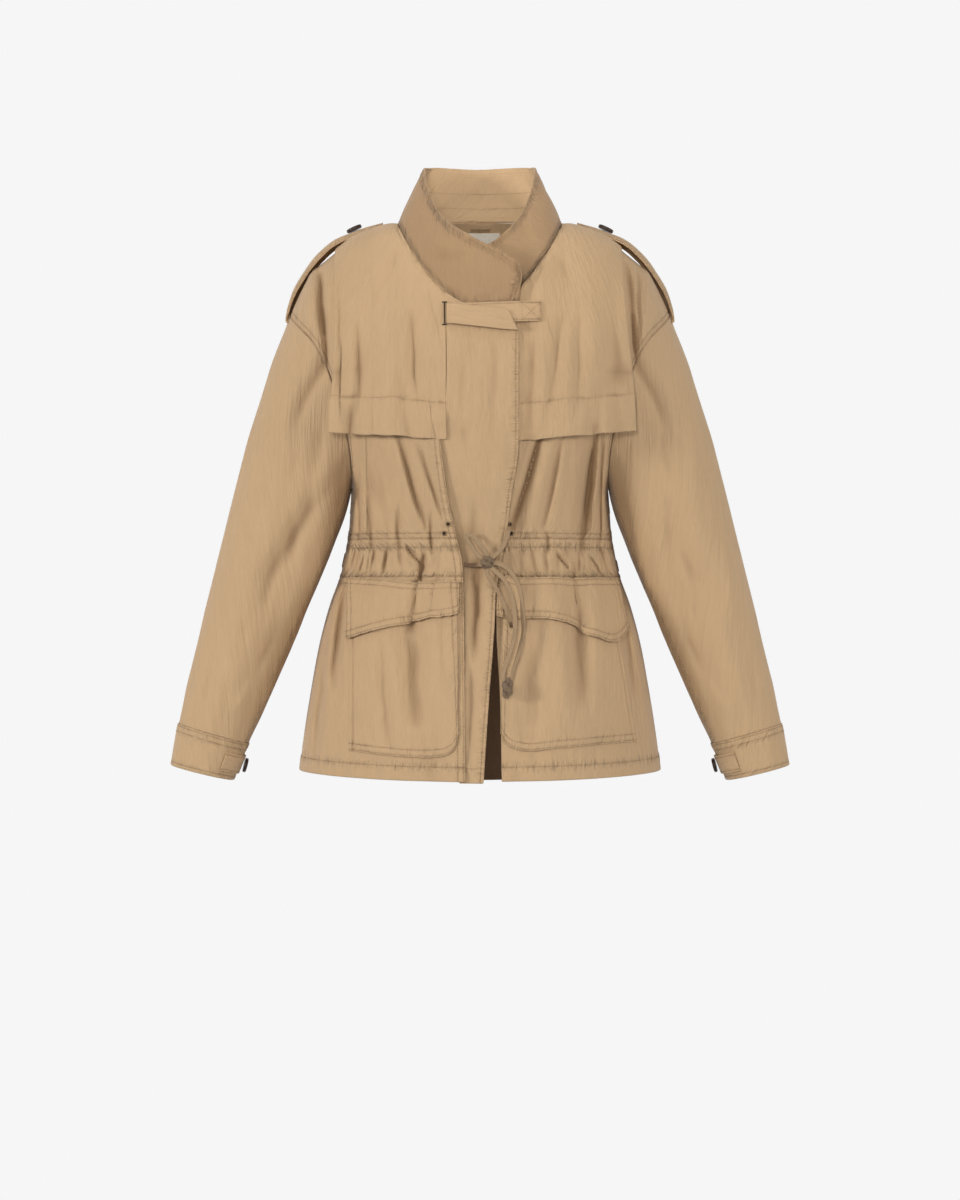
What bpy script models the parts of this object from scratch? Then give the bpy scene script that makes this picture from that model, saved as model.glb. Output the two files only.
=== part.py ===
"""Trench jacket: a short cotton jacket standing in its worn shape with nothing inside it.

Metres, +Z up, the front faces -Y and +X is the wearer's left side. The origin is the middle of
the neck opening, level with the seam of the back neck.
"""
import math
from collections import namedtuple

import bpy
import numpy as np

# cloth walls and the gaps between sewn pieces
CLOTH = 0.0012
FLAP_CLOTH = 0.0015
PLACKET_CLOTH = 0.0018
COLLAR_CLOTH = 0.0024
CUFF_CLOTH = 0.0020
STRAP_CLOTH = 0.0018
SEAM = 0.0007

# the body as a shell about the shoulder ridge
RIDGE_Y = 0.010
BELLY = 2.3
ROLL = 0.12
ROLL_POWER = 2.2
CROWD = 1.6
NECK_X = 0.0968
NECK_Z = -0.0103
NECK_RISE = 0.045
NECK_LEAN = 0.25
NECK_TURN = 1.7
NECK_DROP = 0.1035
NECK_POWER = 2.1
TIP_X = 0.2242
TIP_Z = -0.1201
ARM_Z = -0.3218
CASING_TOP = -0.3840
CASING_LOW = -0.4275
HEM_SIDE = -0.6534
HEM_FRONT_DROP = 0.0066
HEM_BACK_DROP = 0.0216

Ridge = namedtuple("Ridge", "x z")
RIDGE = (
    Ridge(0.0968, -0.0103), Ridge(0.120, -0.016), Ridge(0.152, -0.029), Ridge(0.170, -0.0434),
    Ridge(0.189, -0.0587), Ridge(0.1994, -0.067), Ridge(0.2065, -0.080), Ridge(0.2124, -0.0917),
    Ridge(0.2195, -0.107), Ridge(0.2242, -0.1201),
)

Trunk = namedtuple("Trunk", "z half reach front back")
TRUNK = (
    Trunk(-0.660, 0.2140, 0.2140, 0.167, 0.159), Trunk(-0.607, 0.2070, 0.2070, 0.161, 0.153),
    Trunk(-0.554, 0.1985, 0.1985, 0.153, 0.145), Trunk(-0.501, 0.1885, 0.1885, 0.141, 0.130),
    Trunk(-0.454, 0.1755, 0.1755, 0.124, 0.110), Trunk(-0.4255, 0.1650, 0.1650, 0.113, 0.098),
    Trunk(-0.404, 0.1600, 0.1600, 0.111, 0.096), Trunk(-0.381, 0.1555, 0.1555, 0.113, 0.097),
    Trunk(-0.355, 0.1530, 0.1530, 0.119, 0.101), Trunk(-0.322, 0.1512, 0.1512, 0.127, 0.108),
    Trunk(-0.300, 0.1505, 0.1585, 0.130, 0.112), Trunk(-0.268, 0.1535, 0.1730, 0.134, 0.118),
    Trunk(-0.233, 0.1615, 0.1920, 0.136, 0.124), Trunk(-0.196, 0.1735, 0.2120, 0.133, 0.126),
    Trunk(-0.158, 0.1920, 0.2360, 0.124, 0.124), Trunk(-0.1201, 0.2242, 0.2620, 0.112, 0.118),
    Trunk(-0.050, 0.2242, 0.3000, 0.090, 0.095), Trunk(0.000, 0.2242, 0.3000, 0.080, 0.075),
)

# large folds lying on the front: a line from top to low end, its half width and its rise
Fold = namedtuple("Fold", "x_top z_top x_low z_low wide rise")
FOLDS = (
    Fold(-0.1000, -0.250, -0.0640, -0.385, 0.011, 0.0050),
    Fold(-0.1390, -0.260, -0.1180, -0.385, 0.012, -0.0045),
    Fold(0.0700, -0.245, 0.0380, -0.385, 0.010, -0.0050),
    Fold(0.1290, -0.240, 0.1150, -0.400, 0.008, -0.0065),
    Fold(0.1430, -0.240, 0.1370, -0.400, 0.007, 0.0050),
    Fold(0.0980, -0.250, 0.0880, -0.385, 0.012, 0.0035),
    Fold(-0.1100, -0.640, -0.1000, -0.500, 0.020, 0.0030),
    Fold(0.1150, -0.640, 0.1080, -0.500, 0.022, 0.0030),
)
BACK_FOLDS = (
    Fold(-0.1050, -0.180, -0.0700, -0.385, 0.014, 0.0050),
    Fold(0.0980, -0.170, 0.0760, -0.385, 0.014, 0.0045),
    Fold(-0.1350, -0.230, -0.1200, -0.385, 0.012, -0.0040),
    Fold(0.1330, -0.240, 0.1210, -0.385, 0.012, -0.0045),
    Fold(-0.0800, -0.680, -0.0700, -0.430, 0.022, 0.0040),
    Fold(0.0600, -0.680, 0.0580, -0.430, 0.022, 0.0040),
    Fold(0.1400, -0.660, 0.1200, -0.430, 0.018, -0.0040),
)
GATHER_WAVES = 14
GATHER_RISE = 0.0022
BACK_WAVES = 12

# edges of the two fronts and the placket, read against height
Edge = namedtuple("Edge", "z x")
RIGHT_EDGE = (
    Edge(-0.660, -0.0165), Edge(-0.454, -0.0195), Edge(-0.4275, -0.0200), Edge(-0.407, -0.0207),
    Edge(-0.357, -0.0280), Edge(-0.313, -0.0371), Edge(-0.271, -0.0455), Edge(-0.240, -0.0425),
    Edge(-0.235, -0.0412), Edge(-0.110, -0.0412),
)
LEFT_EDGE = (
    Edge(-0.660, 0.0252), Edge(-0.557, 0.0229), Edge(-0.500, 0.0195), Edge(-0.454, 0.0178),
    Edge(-0.410, 0.0092), Edge(-0.271, -0.0020), Edge(-0.110, -0.0115),
)
Placket = namedtuple("Placket", "z left right")
PLACKET = (
    Placket(-0.6615, -0.0230, 0.0034), Placket(-0.591, -0.0240, 0.0080),
    Placket(-0.4745, -0.0265, 0.0166), Placket(-0.443, -0.0268, 0.0183),
    Placket(-0.407, -0.0275, 0.0248), Placket(-0.368, -0.0330, 0.0315),
    Placket(-0.328, -0.0415, 0.0366), Placket(-0.290, -0.0490, 0.0430),
    Placket(-0.262, -0.0500, 0.0440), Placket(-0.238, -0.0405, 0.0440),
    Placket(-0.225, -0.0392, 0.0440), Placket(-0.1150, -0.0392, 0.0440),
)
PLACKET_TOP = -0.1146

# how far each layer stands out from the body at the centre front, read against height
Lift = namedtuple("Lift", "z out")
RIGHT_LIFT = (
    Lift(-0.660, 0.0046), Lift(-0.430, 0.0052), Lift(-0.300, 0.0058), Lift(-0.262, 0.0048),
    Lift(-0.235, 0.0040), Lift(-0.200, 0.0000), Lift(-0.110, 0.0000),
)
PLACKET_LIFT = (
    Lift(-0.660, 0.0010), Lift(-0.262, 0.0014), Lift(-0.238, 0.0016), Lift(-0.205, 0.0036),
    Lift(-0.110, 0.0036),
)
PLACKET_RIGHT_OUT = 0.0036
LEFT_PUSH = 0.0042
FLAP_LIFT = (
    Lift(-0.270, 0.0085), Lift(-0.240, 0.0078), Lift(-0.200, 0.0052), Lift(-0.150, 0.0040),
    Lift(0.0, 0.0038),
)
FLAP_REACH = 0.215

# sleeve: outer and inner ends of each ring, its half depth and middle, from armhole to cuff
Ring = namedtuple("Ring", "out_x out_z in_x in_z deep mid_y")
SLEEVE = (
    Ring(0.2242, -0.1201, 0.1516, -0.3218, 0.080, 0.010),
    Ring(0.2413, -0.1637, 0.1546, -0.3360, 0.075, 0.009),
    Ring(0.2602, -0.2204, 0.1617, -0.3608, 0.070, 0.006),
    Ring(0.2767, -0.2770, 0.1735, -0.3915, 0.066, 0.002),
    Ring(0.2909, -0.3336, 0.1876, -0.4280, 0.061, -0.003),
    Ring(0.3039, -0.3903, 0.2030, -0.4658, 0.057, -0.008),
    Ring(0.3180, -0.4469, 0.2189, -0.5047, 0.053, -0.013),
    Ring(0.3310, -0.5036, 0.2354, -0.5425, 0.049, -0.018),
    Ring(0.3434, -0.5567, 0.2525, -0.5803, 0.045, -0.022),
    Ring(0.3528, -0.5980, 0.2714, -0.6216, 0.040, -0.025),
    Ring(0.3611, -0.6463, 0.2891, -0.6640, 0.036, -0.027),
)
SLEEVE_PLACES = (0.0, 0.5, 1.1, 1.8, 2.6, 3.4, 4.3, 5.2, 6.1, 7.0, 8.0, 8.985)
CUFF_PLACES = (9.015, 9.5, 10.0)
SLEEVE_SEAM = 0.0014
BLEND_RINGS = 3.0
CUFF_PROUD = 0.0012
Crease = namedtuple("Crease", "ring turn rise wide long slant")
SLEEVE_CREASES = (
    Crease(1.6, 95, -0.0050, 22, 1.6, 10), Crease(2.4, 125, 0.0045, 20, 1.8, 14),
    Crease(4.3, 70, 0.0035, 26, 1.7, -12), Crease(5.6, 115, -0.0040, 22, 1.5, 12),
    Crease(7.2, 85, 0.0030, 24, 1.4, -8), Crease(3.6, 250, 0.0040, 26, 1.8, 10),
    Crease(5.8, 285, -0.0035, 24, 1.6, -10), Crease(7.4, 235, 0.0030, 22, 1.4, 8),
)

# collar: its foot follows the neckline by the turn round the neck, its top edge is given
Collar = namedtuple("Collar", "turn x y z")
COLLAR_TOP = (
    Collar(-27.0, 0.0474, -0.1030, -0.0790), Collar(-25.0, 0.0455, -0.1005, -0.0690),
    Collar(-20.0, 0.0335, -0.0965, -0.0580), Collar(-7.0, 0.0116, -0.0890, -0.0455),
    Collar(5.0, -0.0080, -0.0820, -0.0345), Collar(20.0, -0.0300, -0.0660, -0.0200),
    Collar(38.0, -0.0460, -0.0420, -0.0030), Collar(60.0, -0.0570, -0.0140, 0.0200),
    Collar(90.0, -0.0664, 0.0300, 0.0560), Collar(120.0, -0.0580, 0.0690, 0.0640),
    Collar(150.0, -0.0330, 0.0850, 0.0648), Collar(180.0, 0.0, 0.0900, 0.0640),
    Collar(210.0, 0.0330, 0.0850, 0.0648), Collar(240.0, 0.0580, 0.0690, 0.0640),
    Collar(270.0, 0.0650, 0.0300, 0.0560), Collar(300.0, 0.0580, -0.0100, 0.0210),
    Collar(322.0, 0.0480, -0.0340, -0.0030), Collar(340.0, 0.0340, -0.0530, -0.0210),
    Collar(355.0, 0.0130, -0.0640, -0.0385), Collar(365.0, -0.0050, -0.0650, -0.0460),
    Collar(376.0, -0.0230, -0.0610, -0.0500),
)
COLLAR_LAP = 0.0040
COLLAR_FOOT_GAP = 0.0020
COLLAR_LEVEL_TURN = 8.0
COLLAR_LEVEL_RISE = 0.0006

# storm flaps: outer edges against height and the height of the lower edge against distance out
RIGHT_FLAP_OUT = (Edge(-0.2630, 0.1722), Edge(-0.165, 0.1695), Edge(-0.043, 0.1680))
LEFT_FLAP_OUT = (
    Edge(-0.2630, 0.1770), Edge(-0.1857, 0.1753), Edge(-0.147, 0.1715), Edge(-0.088, 0.1660),
    Edge(-0.039, 0.1640),
)
FlapHem = namedtuple("FlapHem", "x z")
RIGHT_FLAP_HEM = (
    FlapHem(0.0384, -0.2697), FlapHem(0.075, -0.2672), FlapHem(0.110, -0.2640),
    FlapHem(0.145, -0.2622), FlapHem(0.172, -0.2594),
)
LEFT_FLAP_HEM = (
    FlapHem(0.030, -0.2720), FlapHem(0.046, -0.2708), FlapHem(0.080, -0.2678),
    FlapHem(0.120, -0.2638), FlapHem(0.150, -0.2608), FlapHem(0.177, -0.2571),
)
RIGHT_FLAP_IN = 0.0402
FLAP_TUCK = 0.0004
FLAP_NECK_GAP = 0.0032
LEFT_FLAP_IN = 0.0300

# pockets and their flaps, as heights read against distance out from the centre front
Patch = namedtuple("Patch", "x top low")
RIGHT_POCKET = (
    Patch(0.0236, -0.458, -0.6100), Patch(0.0270, -0.458, -0.6200), Patch(0.0360, -0.457, -0.6296),
    Patch(0.0480, -0.456, -0.6325), Patch(0.0700, -0.455, -0.6332), Patch(0.1100, -0.452, -0.6305),
    Patch(0.1490, -0.450, -0.6268),
)
LEFT_POCKET = (
    Patch(0.0236, -0.457, -0.6050), Patch(0.0290, -0.457, -0.6150), Patch(0.0390, -0.456, -0.6223),
    Patch(0.0480, -0.455, -0.6246), Patch(0.0900, -0.452, -0.6225), Patch(0.1400, -0.450, -0.6192),
    Patch(0.1810, -0.450, -0.6172),
)
RIGHT_POCKET_FLAP = (
    Patch(0.0225, -0.4375, -0.4700), Patch(0.0270, -0.4372, -0.4736),
    Patch(0.0400, -0.4362, -0.4758), Patch(0.0600, -0.4350, -0.4792),
    Patch(0.1042, -0.4322, -0.4872), Patch(0.1495, -0.4296, -0.5004),
)
LEFT_POCKET_FLAP = (
    Patch(0.0195, -0.4440, -0.4730), Patch(0.0260, -0.4300, -0.4750),
    Patch(0.0412, -0.4292, -0.4758), Patch(0.0836, -0.4297, -0.4787),
    Patch(0.1036, -0.4299, -0.4846), Patch(0.1271, -0.4302, -0.4970),
    Patch(0.1600, -0.4306, -0.4990), Patch(0.1690, -0.4310, -0.4880),
)
LEFT_POCKET_LEAN = -0.165
LEFT_FLAP_LEAN = -0.18
POCKET_PROUD = 0.0020
POCKET_BULGE = 0.0030
POCKET_FLAP_PROUD = 0.0072

# epaulette centre line from the shoulder seam up to its free end
Epaulette = namedtuple("Epaulette", "x z wide droop")
EPAULETTE = (
    Epaulette(0.2262, -0.1170, 0.052, 0.0085), Epaulette(0.2284, -0.1141, 0.052, 0.0080),
    Epaulette(0.2266, -0.1047, 0.051, 0.0075), Epaulette(0.2201, -0.0858, 0.050, 0.0065),
    Epaulette(0.2089, -0.0669, 0.048, 0.0050), Epaulette(0.1953, -0.0481, 0.046, 0.0040),
    Epaulette(0.1740, -0.0292, 0.044, 0.0035), Epaulette(0.1520, -0.0196, 0.042, 0.0030),
    Epaulette(0.1370, -0.0140, 0.040, 0.0030), Epaulette(0.1250, -0.0106, 0.034, 0.0025),
    Epaulette(0.1156, -0.0085, 0.012, 0.0010),
)

Spot = namedtuple("Spot", "x z")
EYELETS = (
    ("eyelet_right_top", Spot(-0.0366, -0.3670)), ("eyelet_right_low", Spot(-0.0412, -0.3775)),
    ("eyelet_left_top", Spot(0.0348, -0.3670)), ("eyelet_left_low", Spot(0.0362, -0.3775)),
)
EYELET_RADIUS = 0.0024
EYELET_WIRE = 0.0008

# drawstring: routes over the front as distance out from the body
CORD_RADIUS = 0.0027
CORD_STEP = 0.0090
BOW = Spot(0.0080, -0.4115)
BOW_OUT = 0.0102
BOW_RADII = (0.0076, 0.0058, 0.0076)
END_KNOT = Spot(0.0309, -0.5540)
END_OUT = 0.0100
END_RADII = (0.0065, 0.0062, 0.0110)
Step = namedtuple("Step", "x z out")
CORDS = (
    ("drawstring_right_run", (
        Step(-0.0182, -0.4130, 0.0050), Step(-0.0110, -0.4142, 0.0060), Step(-0.0030, -0.4135, 0.0085))),
    ("drawstring_loop", (
        Step(0.0090, -0.4003, 0.0110), Step(0.0010, -0.3866, 0.0100), Step(-0.0080, -0.3812, 0.0092),
        Step(-0.0160, -0.3848, 0.0088), Step(-0.0150, -0.3915, 0.0090), Step(-0.0080, -0.3975, 0.0095),
        Step(-0.0015, -0.4030, 0.0100))),
    ("drawstring_short_end", (
        Step(0.0080, -0.4228, 0.0105), Step(0.0165, -0.4370, 0.0095), Step(0.0265, -0.4560, 0.0085),
        Step(0.0325, -0.4700, 0.0080), Step(0.0362, -0.4849, 0.0080))),
    ("drawstring_left_run", (
        Step(0.0330, -0.3735, 0.0072), Step(0.0292, -0.3860, 0.0074), Step(0.0240, -0.3960, 0.0082),
        Step(0.0160, -0.4040, 0.0098))),
    ("drawstring_outer_strand", (
        Step(0.0188, -0.4118, 0.0105), Step(0.0300, -0.4165, 0.0125), Step(0.0395, -0.4280, 0.0130),
        Step(0.0457, -0.4426, 0.0125), Step(0.0486, -0.4654, 0.0115), Step(0.0492, -0.4900, 0.0110),
        Step(0.0440, -0.5157, 0.0110), Step(0.0385, -0.5320, 0.0110), Step(0.0358, -0.5425, 0.0105))),
    ("drawstring_inner_strand", (
        Step(0.0155, -0.4192, 0.0120), Step(0.0270, -0.4300, 0.0135), Step(0.0355, -0.4470, 0.0140),
        Step(0.0395, -0.4700, 0.0145), Step(0.0395, -0.4930, 0.0150), Step(0.0345, -0.5134, 0.0140),
        Step(0.0290, -0.5290, 0.0125), Step(0.0262, -0.5425, 0.0110))),
)

# throat latch: middle of the strap along its way, as distance out from the body
LATCH_LOWER = (
    Step(0.0695, -0.1220, 0.0052), Step(0.0590, -0.1220, 0.0054), Step(0.0476, -0.1222, 0.0060),
    Step(0.0400, -0.1225, 0.0066), Step(0.0200, -0.1232, 0.0064), Step(0.0000, -0.1240, 0.0062),
    Step(-0.0200, -0.1246, 0.0062), Step(-0.0340, -0.1248, 0.0062),
)
LATCH_UPPER = (
    Step(-0.0340, -0.1248, 0.0092), Step(-0.0200, -0.1262, 0.0096), Step(0.0000, -0.1284, 0.0098),
    Step(0.0200, -0.1308, 0.0098), Step(0.0310, -0.1320, 0.0098), Step(0.0375, -0.1327, 0.0098),
)
LATCH_FOLD_X = -0.0365
LATCH_FOLD_Z = -0.1248
LATCH_FOLD = 0.0015
LATCH_FOLD_OUT = 0.0077
LATCH_HALF = 0.0116
LATCH_SLANT = 0.0058
BAR_X = -0.0408
BAR_HALF_WIDE = 0.0007
BAR_TACK = 0.0022
BAR_TOP = -0.1108
BAR_LOW = -0.1388
BAR_OUT = 0.0048
BAR_THICK = 0.0012

# colours
TAN = (0.50, 0.35, 0.20)
DARK = (0.05, 0.03, 0.02)
PALE = (0.80, 0.79, 0.74)
ANTIQUE = (0.20, 0.15, 0.10)

# inside of the back neck
Trim = namedtuple("Trim", "name half top low thick gap colour")
NECK_TRIM = (
    Trim("neck_label", 0.0236, -0.0130, -0.0450, 0.0006, 0.0026, PALE),
    Trim("hanger_loop", 0.0120, -0.0035, -0.0085, 0.0008, 0.0028, TAN),
)

# cuff tab: where it starts, ends and buttons, in degrees round the cuff and rings along it
TAB_START = 122.0
TAB_END = 214.0
TAB_MID = 9.58
TAB_HALF = 0.24
TAB_OUT = 0.0028
TAB_BUTTON = 186.0


def smooth(xs, ys, x):
    """Read a table at x along a smooth curve through its rows."""
    xs = np.asarray(xs, float)
    ys = np.asarray(ys, float)
    order = np.argsort(xs)
    xs = xs[order]
    ys = ys[order]
    slope = np.gradient(ys, xs)
    x = np.clip(np.asarray(x, float), xs[0], xs[-1])
    i = np.clip(np.searchsorted(xs, x) - 1, 0, len(xs) - 2)
    step = xs[i + 1] - xs[i]
    t = (x - xs[i]) / step
    rest = 1.0 - t
    start = rest * rest * ((1 + 2 * t) * ys[i] + t * step * slope[i])
    end = t * t * ((3 - 2 * t) * ys[i + 1] - rest * step * slope[i + 1])
    return start + end


def read(rows, key, name, x):
    """Read one named column of a table against another."""
    return smooth([getattr(r, key) for r in rows], [getattr(r, name) for r in rows], x)


def ease(low, high, x):
    """Rise from 0 to 1 between low and high."""
    t = np.clip((np.asarray(x, float) - low) / (high - low), 0.0, 1.0)
    return t * t * (3 - 2 * t)


def ridge_height(x):
    """Height of the shoulder line, carried on over the neck opening as a low arch."""
    out = np.abs(x)
    inside = np.clip(NECK_X - out, 0, None)
    arch = NECK_Z + NECK_LEAN * inside + NECK_RISE * np.clip(1 - (out / NECK_X) ** 2, 0, 1) ** NECK_TURN
    return np.where(out < NECK_X, arch, read(RIDGE, "x", "z", out))


def neckline(x):
    """Height of the front neckline."""
    share = np.clip(np.abs(x) / NECK_X, 0, 1)
    return NECK_Z - NECK_DROP * (1 - share ** NECK_POWER)


def back_neckline(x):
    """Height of the back neckline."""
    share = np.clip(np.abs(x) / NECK_X, 0, 1)
    return NECK_Z * share ** 2


def fold_rise(x, z, folds):
    """How far the large folds lift the cloth at a point."""
    total = np.zeros(np.broadcast(x, z).shape)
    for fold in folds:
        run_x = fold.x_low - fold.x_top
        run_z = fold.z_low - fold.z_top
        length = math.hypot(run_x, run_z)
        along = ((x - fold.x_top) * run_x + (z - fold.z_top) * run_z) / length ** 2
        aside = ((x - fold.x_top) * run_z - (z - fold.z_top) * run_x) / length
        t = np.clip(along, 0, 1)
        total = total + fold.rise * 4 * t * (1 - t) * np.exp(-((aside / fold.wide) ** 2))
    return total


def depth(x, z, side, reach_floor=0.0):
    """How far the body stands out in front of or behind the shoulder ridge."""
    out = np.abs(x)
    reach = np.maximum(read(TRUNK, "z", "reach", z), reach_floor)
    share = np.clip(out / reach, 0, 1)
    belly = (1 - share ** BELLY) ** (1 / BELLY)
    below = np.clip((ridge_height(x) - z) / ROLL, 0, 1)
    roll = (1 - (1 - below) ** ROLL_POWER) ** (1 / ROLL_POWER)
    return read(TRUNK, "z", side, z) * belly * roll


def front_y(x, z, reach_floor=0.0):
    """Y of the outer face of the front at a point seen from the front."""
    folds = fold_rise(x, z, FOLDS) * ease(0.0, 0.02, ridge_height(x) - z)
    return RIDGE_Y - SEAM / 2 - depth(x, z, "front", reach_floor) - folds


def back_y(x, z):
    """Y of the outer face of the back."""
    return RIDGE_Y + SEAM / 2 + depth(x, z, "back") + fold_rise(x, z, BACK_FOLDS)


def normals(grid):
    """Unit normals of a grid of points, pointing away from the middle of the body."""
    down = np.gradient(grid, axis=0)
    across = np.gradient(grid, axis=1)
    n = np.cross(down, across)
    n /= np.maximum(np.linalg.norm(n, axis=2, keepdims=True), 1e-12)
    middle = np.array([0.0, RIDGE_Y, -0.30])
    away = grid - middle
    away[..., 2] *= 0.2
    flip = np.sign((n * away).sum())
    return n * (flip if flip else 1.0)


def lifted(grid, out):
    """Move a grid of points out along its normals."""
    return grid + normals(grid) * np.asarray(out)[..., None]


def clear_scene():
    for item in list(bpy.data.objects):
        bpy.data.objects.remove(item, do_unlink=True)
    for group in list(bpy.data.collections):
        bpy.data.collections.remove(group)


def material(name, colour, rough):
    made = bpy.data.materials.new(name)
    made.use_nodes = True
    shader = made.node_tree.nodes["Principled BSDF"]
    shader.inputs["Base Color"].default_value = (*colour, 1.0)
    shader.inputs["Roughness"].default_value = rough
    return made


def place(name, mesh, colour=TAN, rough=0.85, flat=False):
    """Put a mesh in the scene under its node name with a material of its own."""
    made = bpy.data.objects.new(name, mesh)
    jacket.objects.link(made)
    mesh.materials.append(material(name + "_material", colour, rough))
    if not flat:
        for face in mesh.polygons:
            face.use_smooth = True
    return made


def sheet(name, grid, thick, colour=TAN, ring=False, outward=None):
    """A cloth wall: a grid of points on its outer face, thickened inward."""
    rows, columns = grid.shape[:2]
    points = [tuple(p) for p in grid.reshape(-1, 3)]
    faces = []
    for i in range(rows - 1):
        for j in range(columns if ring else columns - 1):
            k = (j + 1) % columns
            faces.append((i * columns + j, i * columns + k, (i + 1) * columns + k, (i + 1) * columns + j))
    away = outward if outward is not None else normals(grid)
    mid_r = (rows - 1) // 2
    mid_c = (columns - 1) // 2
    a, b, c, d = (grid[mid_r, mid_c], grid[mid_r, mid_c + 1], grid[mid_r + 1, mid_c + 1], grid[mid_r + 1, mid_c])
    face_normal = np.cross(c - a, d - b)
    hint = away if outward is not None else away[mid_r, mid_c]
    if np.dot(face_normal, hint) < 0:
        faces = [tuple(reversed(f)) for f in faces]
    mesh = bpy.data.meshes.new(name)
    mesh.from_pydata(points, [], faces)
    made = place(name, mesh, colour)
    wall = made.modifiers.new("wall", "SOLIDIFY")
    wall.thickness = thick
    wall.offset = -1.0
    wall.use_even_offset = False
    return made


# ---- body panels ----

def share_of(x, limit):
    return np.arcsin(np.clip(x / limit, -1, 1)) / (math.pi / 2)


def upper_grid(edge, sign, columns, side):
    """Upper panel from its centre edge out to the side seam and armhole, waist to neck and shoulder."""
    top_rows = np.array((0, 0.15, 0.30, 0.44, 0.57, 0.68, 0.77, 0.85, 0.91, 0.955, 0.985, 1.0))
    low_rows = np.linspace(CASING_TOP + SEAM / 2, ARM_Z, 4)[:-1]
    neck_share = share_of(NECK_X, TIP_X)
    grid = []
    inner, outer = columns
    for z_row in low_rows:
        half = read(TRUNK, "z", "half", z_row)
        start = share_of(edge(z_row), half)
        u = column_shares(start, 1.0, neck_share, inner, outer)
        x = np.sin(u * math.pi / 2) * half
        grid.append(np.stack([x, np.full_like(x, z_row)], axis=1))
    for tau in top_rows:
        z_side = ARM_Z + tau * (TIP_Z - ARM_Z)
        z_mid = ARM_Z + tau * (NECK_Z - NECK_DROP - ARM_Z)
        half = read(TRUNK, "z", "half", z_side)
        start = share_of(edge(z_mid), half)
        u = column_shares(start, 1.0, neck_share, inner, outer)
        x = np.sin(u * math.pi / 2) * half
        x_top = np.sin(u * math.pi / 2) * TIP_X
        neck = neckline(x_top) if side == "front" else back_neckline(x_top)
        z_top = np.where(x_top < NECK_X, neck - SEAM / 2, ridge_height(x_top))
        grid.append(np.stack([x, ARM_Z + tau * (z_top - ARM_Z)], axis=1))
    flat = np.array(grid)
    x, z = flat[..., 0] * sign, flat[..., 1]
    y = front_y(x, z) if side == "front" else back_y(x, z)
    return np.stack([x, y, z], axis=2)


def column_shares(start, end, knee, inner, outer):
    """Column places from start to end, crowded toward one column kept on the knee."""
    first = start + (knee - start) * (1 - np.linspace(1, 0, inner + 1) ** CROWD)
    second = knee + (end - knee) * np.linspace(0, 1, outer + 1)
    return np.concatenate([first, second[1:]])


def right_edge(z):
    return -read(RIGHT_EDGE, "z", "x", z)


def left_edge(z):
    return read(LEFT_EDGE, "z", "x", z)


def right_out(x, z):
    """How far the wearer's right front stands out near its centre edge."""
    near = 1 - ease(0.004, 0.045, -x - right_edge(z))
    return read(RIGHT_LIFT, "z", "out", z) * near


def left_out(x, z):
    """The wearer's left front is pressed back under the placket."""
    return -LEFT_PUSH * (1 - ease(0.046, 0.085, x))


def front_panel(name, sign, edge, out, columns):
    grid = upper_grid(edge, sign, columns, "front")
    grid[..., 1] -= out(grid[..., 0], grid[..., 2])
    return sheet(name, grid, CLOTH)


def centre_back(z):
    return np.full_like(np.asarray(z, float), SEAM / 2)


def gathers(x, half, waves, rise, phase):
    """Small folds of the drawn-in waist, closer and deeper toward the sides."""
    turn = share_of(x, half)
    grow = 0.35 + 0.65 * np.abs(turn)
    return rise * grow * np.sin(math.pi * waves * turn + phase)


def band_grid(edge, sign, columns, rows, side, top, low, waves, rise, both=False):
    """Casing or skirt panel between two heights; low may change across the panel."""
    grid = []
    for t in np.linspace(0, 1, rows + 1):
        z_row = low + t * (top - low)
        half = read(TRUNK, "z", "half", z_row)
        start = -1.0 if both else share_of(edge(z_row), half)
        u = np.linspace(start, 1.0, columns + 1)
        x = np.sin(u * math.pi / 2) * half
        if side == "front":
            hem_drop = HEM_FRONT_DROP
        else:
            hem_drop = HEM_BACK_DROP
        hang = hem_drop * np.cos(u * math.pi / 2) ** 2 * (1 - t) if low == HEM_SIDE else 0.0
        z = np.full_like(x, z_row) - hang
        x = x * sign
        y = front_y(x, z) if side == "front" else back_y(x, z)
        wave = gathers(np.abs(x) if not both else x, half, waves, rise, 0.6) * math.sin(math.pi * t) ** 2
        y = y - wave if side == "front" else y + wave
        grid.append(np.stack([x, y, z], axis=1))
    return np.array(grid)


def band(name, sign, edge, out, columns, rows, side, top, low, waves=0.0, rise=0.0, both=False):
    grid = band_grid(edge, sign, columns, rows, side, top, low, waves, rise, both)
    if out is not None:
        grid[..., 1] -= out(grid[..., 0], grid[..., 2])
    return sheet(name, grid, CLOTH)


def build_body():
    front_panel("front_right", -1, right_edge, right_out, (6, 9))
    front_panel("front_left", 1, left_edge, left_out, (7, 9))
    for name, sign in (("back_right", -1), ("back_left", 1)):
        grid = upper_grid(centre_back, sign, (5, 6), "back")
        sheet(name, grid, CLOTH)
    top = CASING_TOP - SEAM / 2
    low = CASING_LOW + SEAM / 2
    band("casing_right", -1, right_edge, right_out, 34, 3, "front", top, low, GATHER_WAVES, GATHER_RISE)
    band("casing_left", 1, left_edge, left_out, 34, 3, "front", top, low, GATHER_WAVES, GATHER_RISE)
    band("casing_back", 1, centre_back, None, 56, 3, "back", top, low, BACK_WAVES, GATHER_RISE, True)
    top = CASING_LOW - SEAM / 2
    band("skirt_right", -1, right_edge, right_out, 16, 6, "front", top, HEM_SIDE)
    band("skirt_left", 1, left_edge, left_out, 16, 6, "front", top, HEM_SIDE)
    band("skirt_back", 1, centre_back, None, 24, 6, "back", top, HEM_SIDE, both=True)


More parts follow.
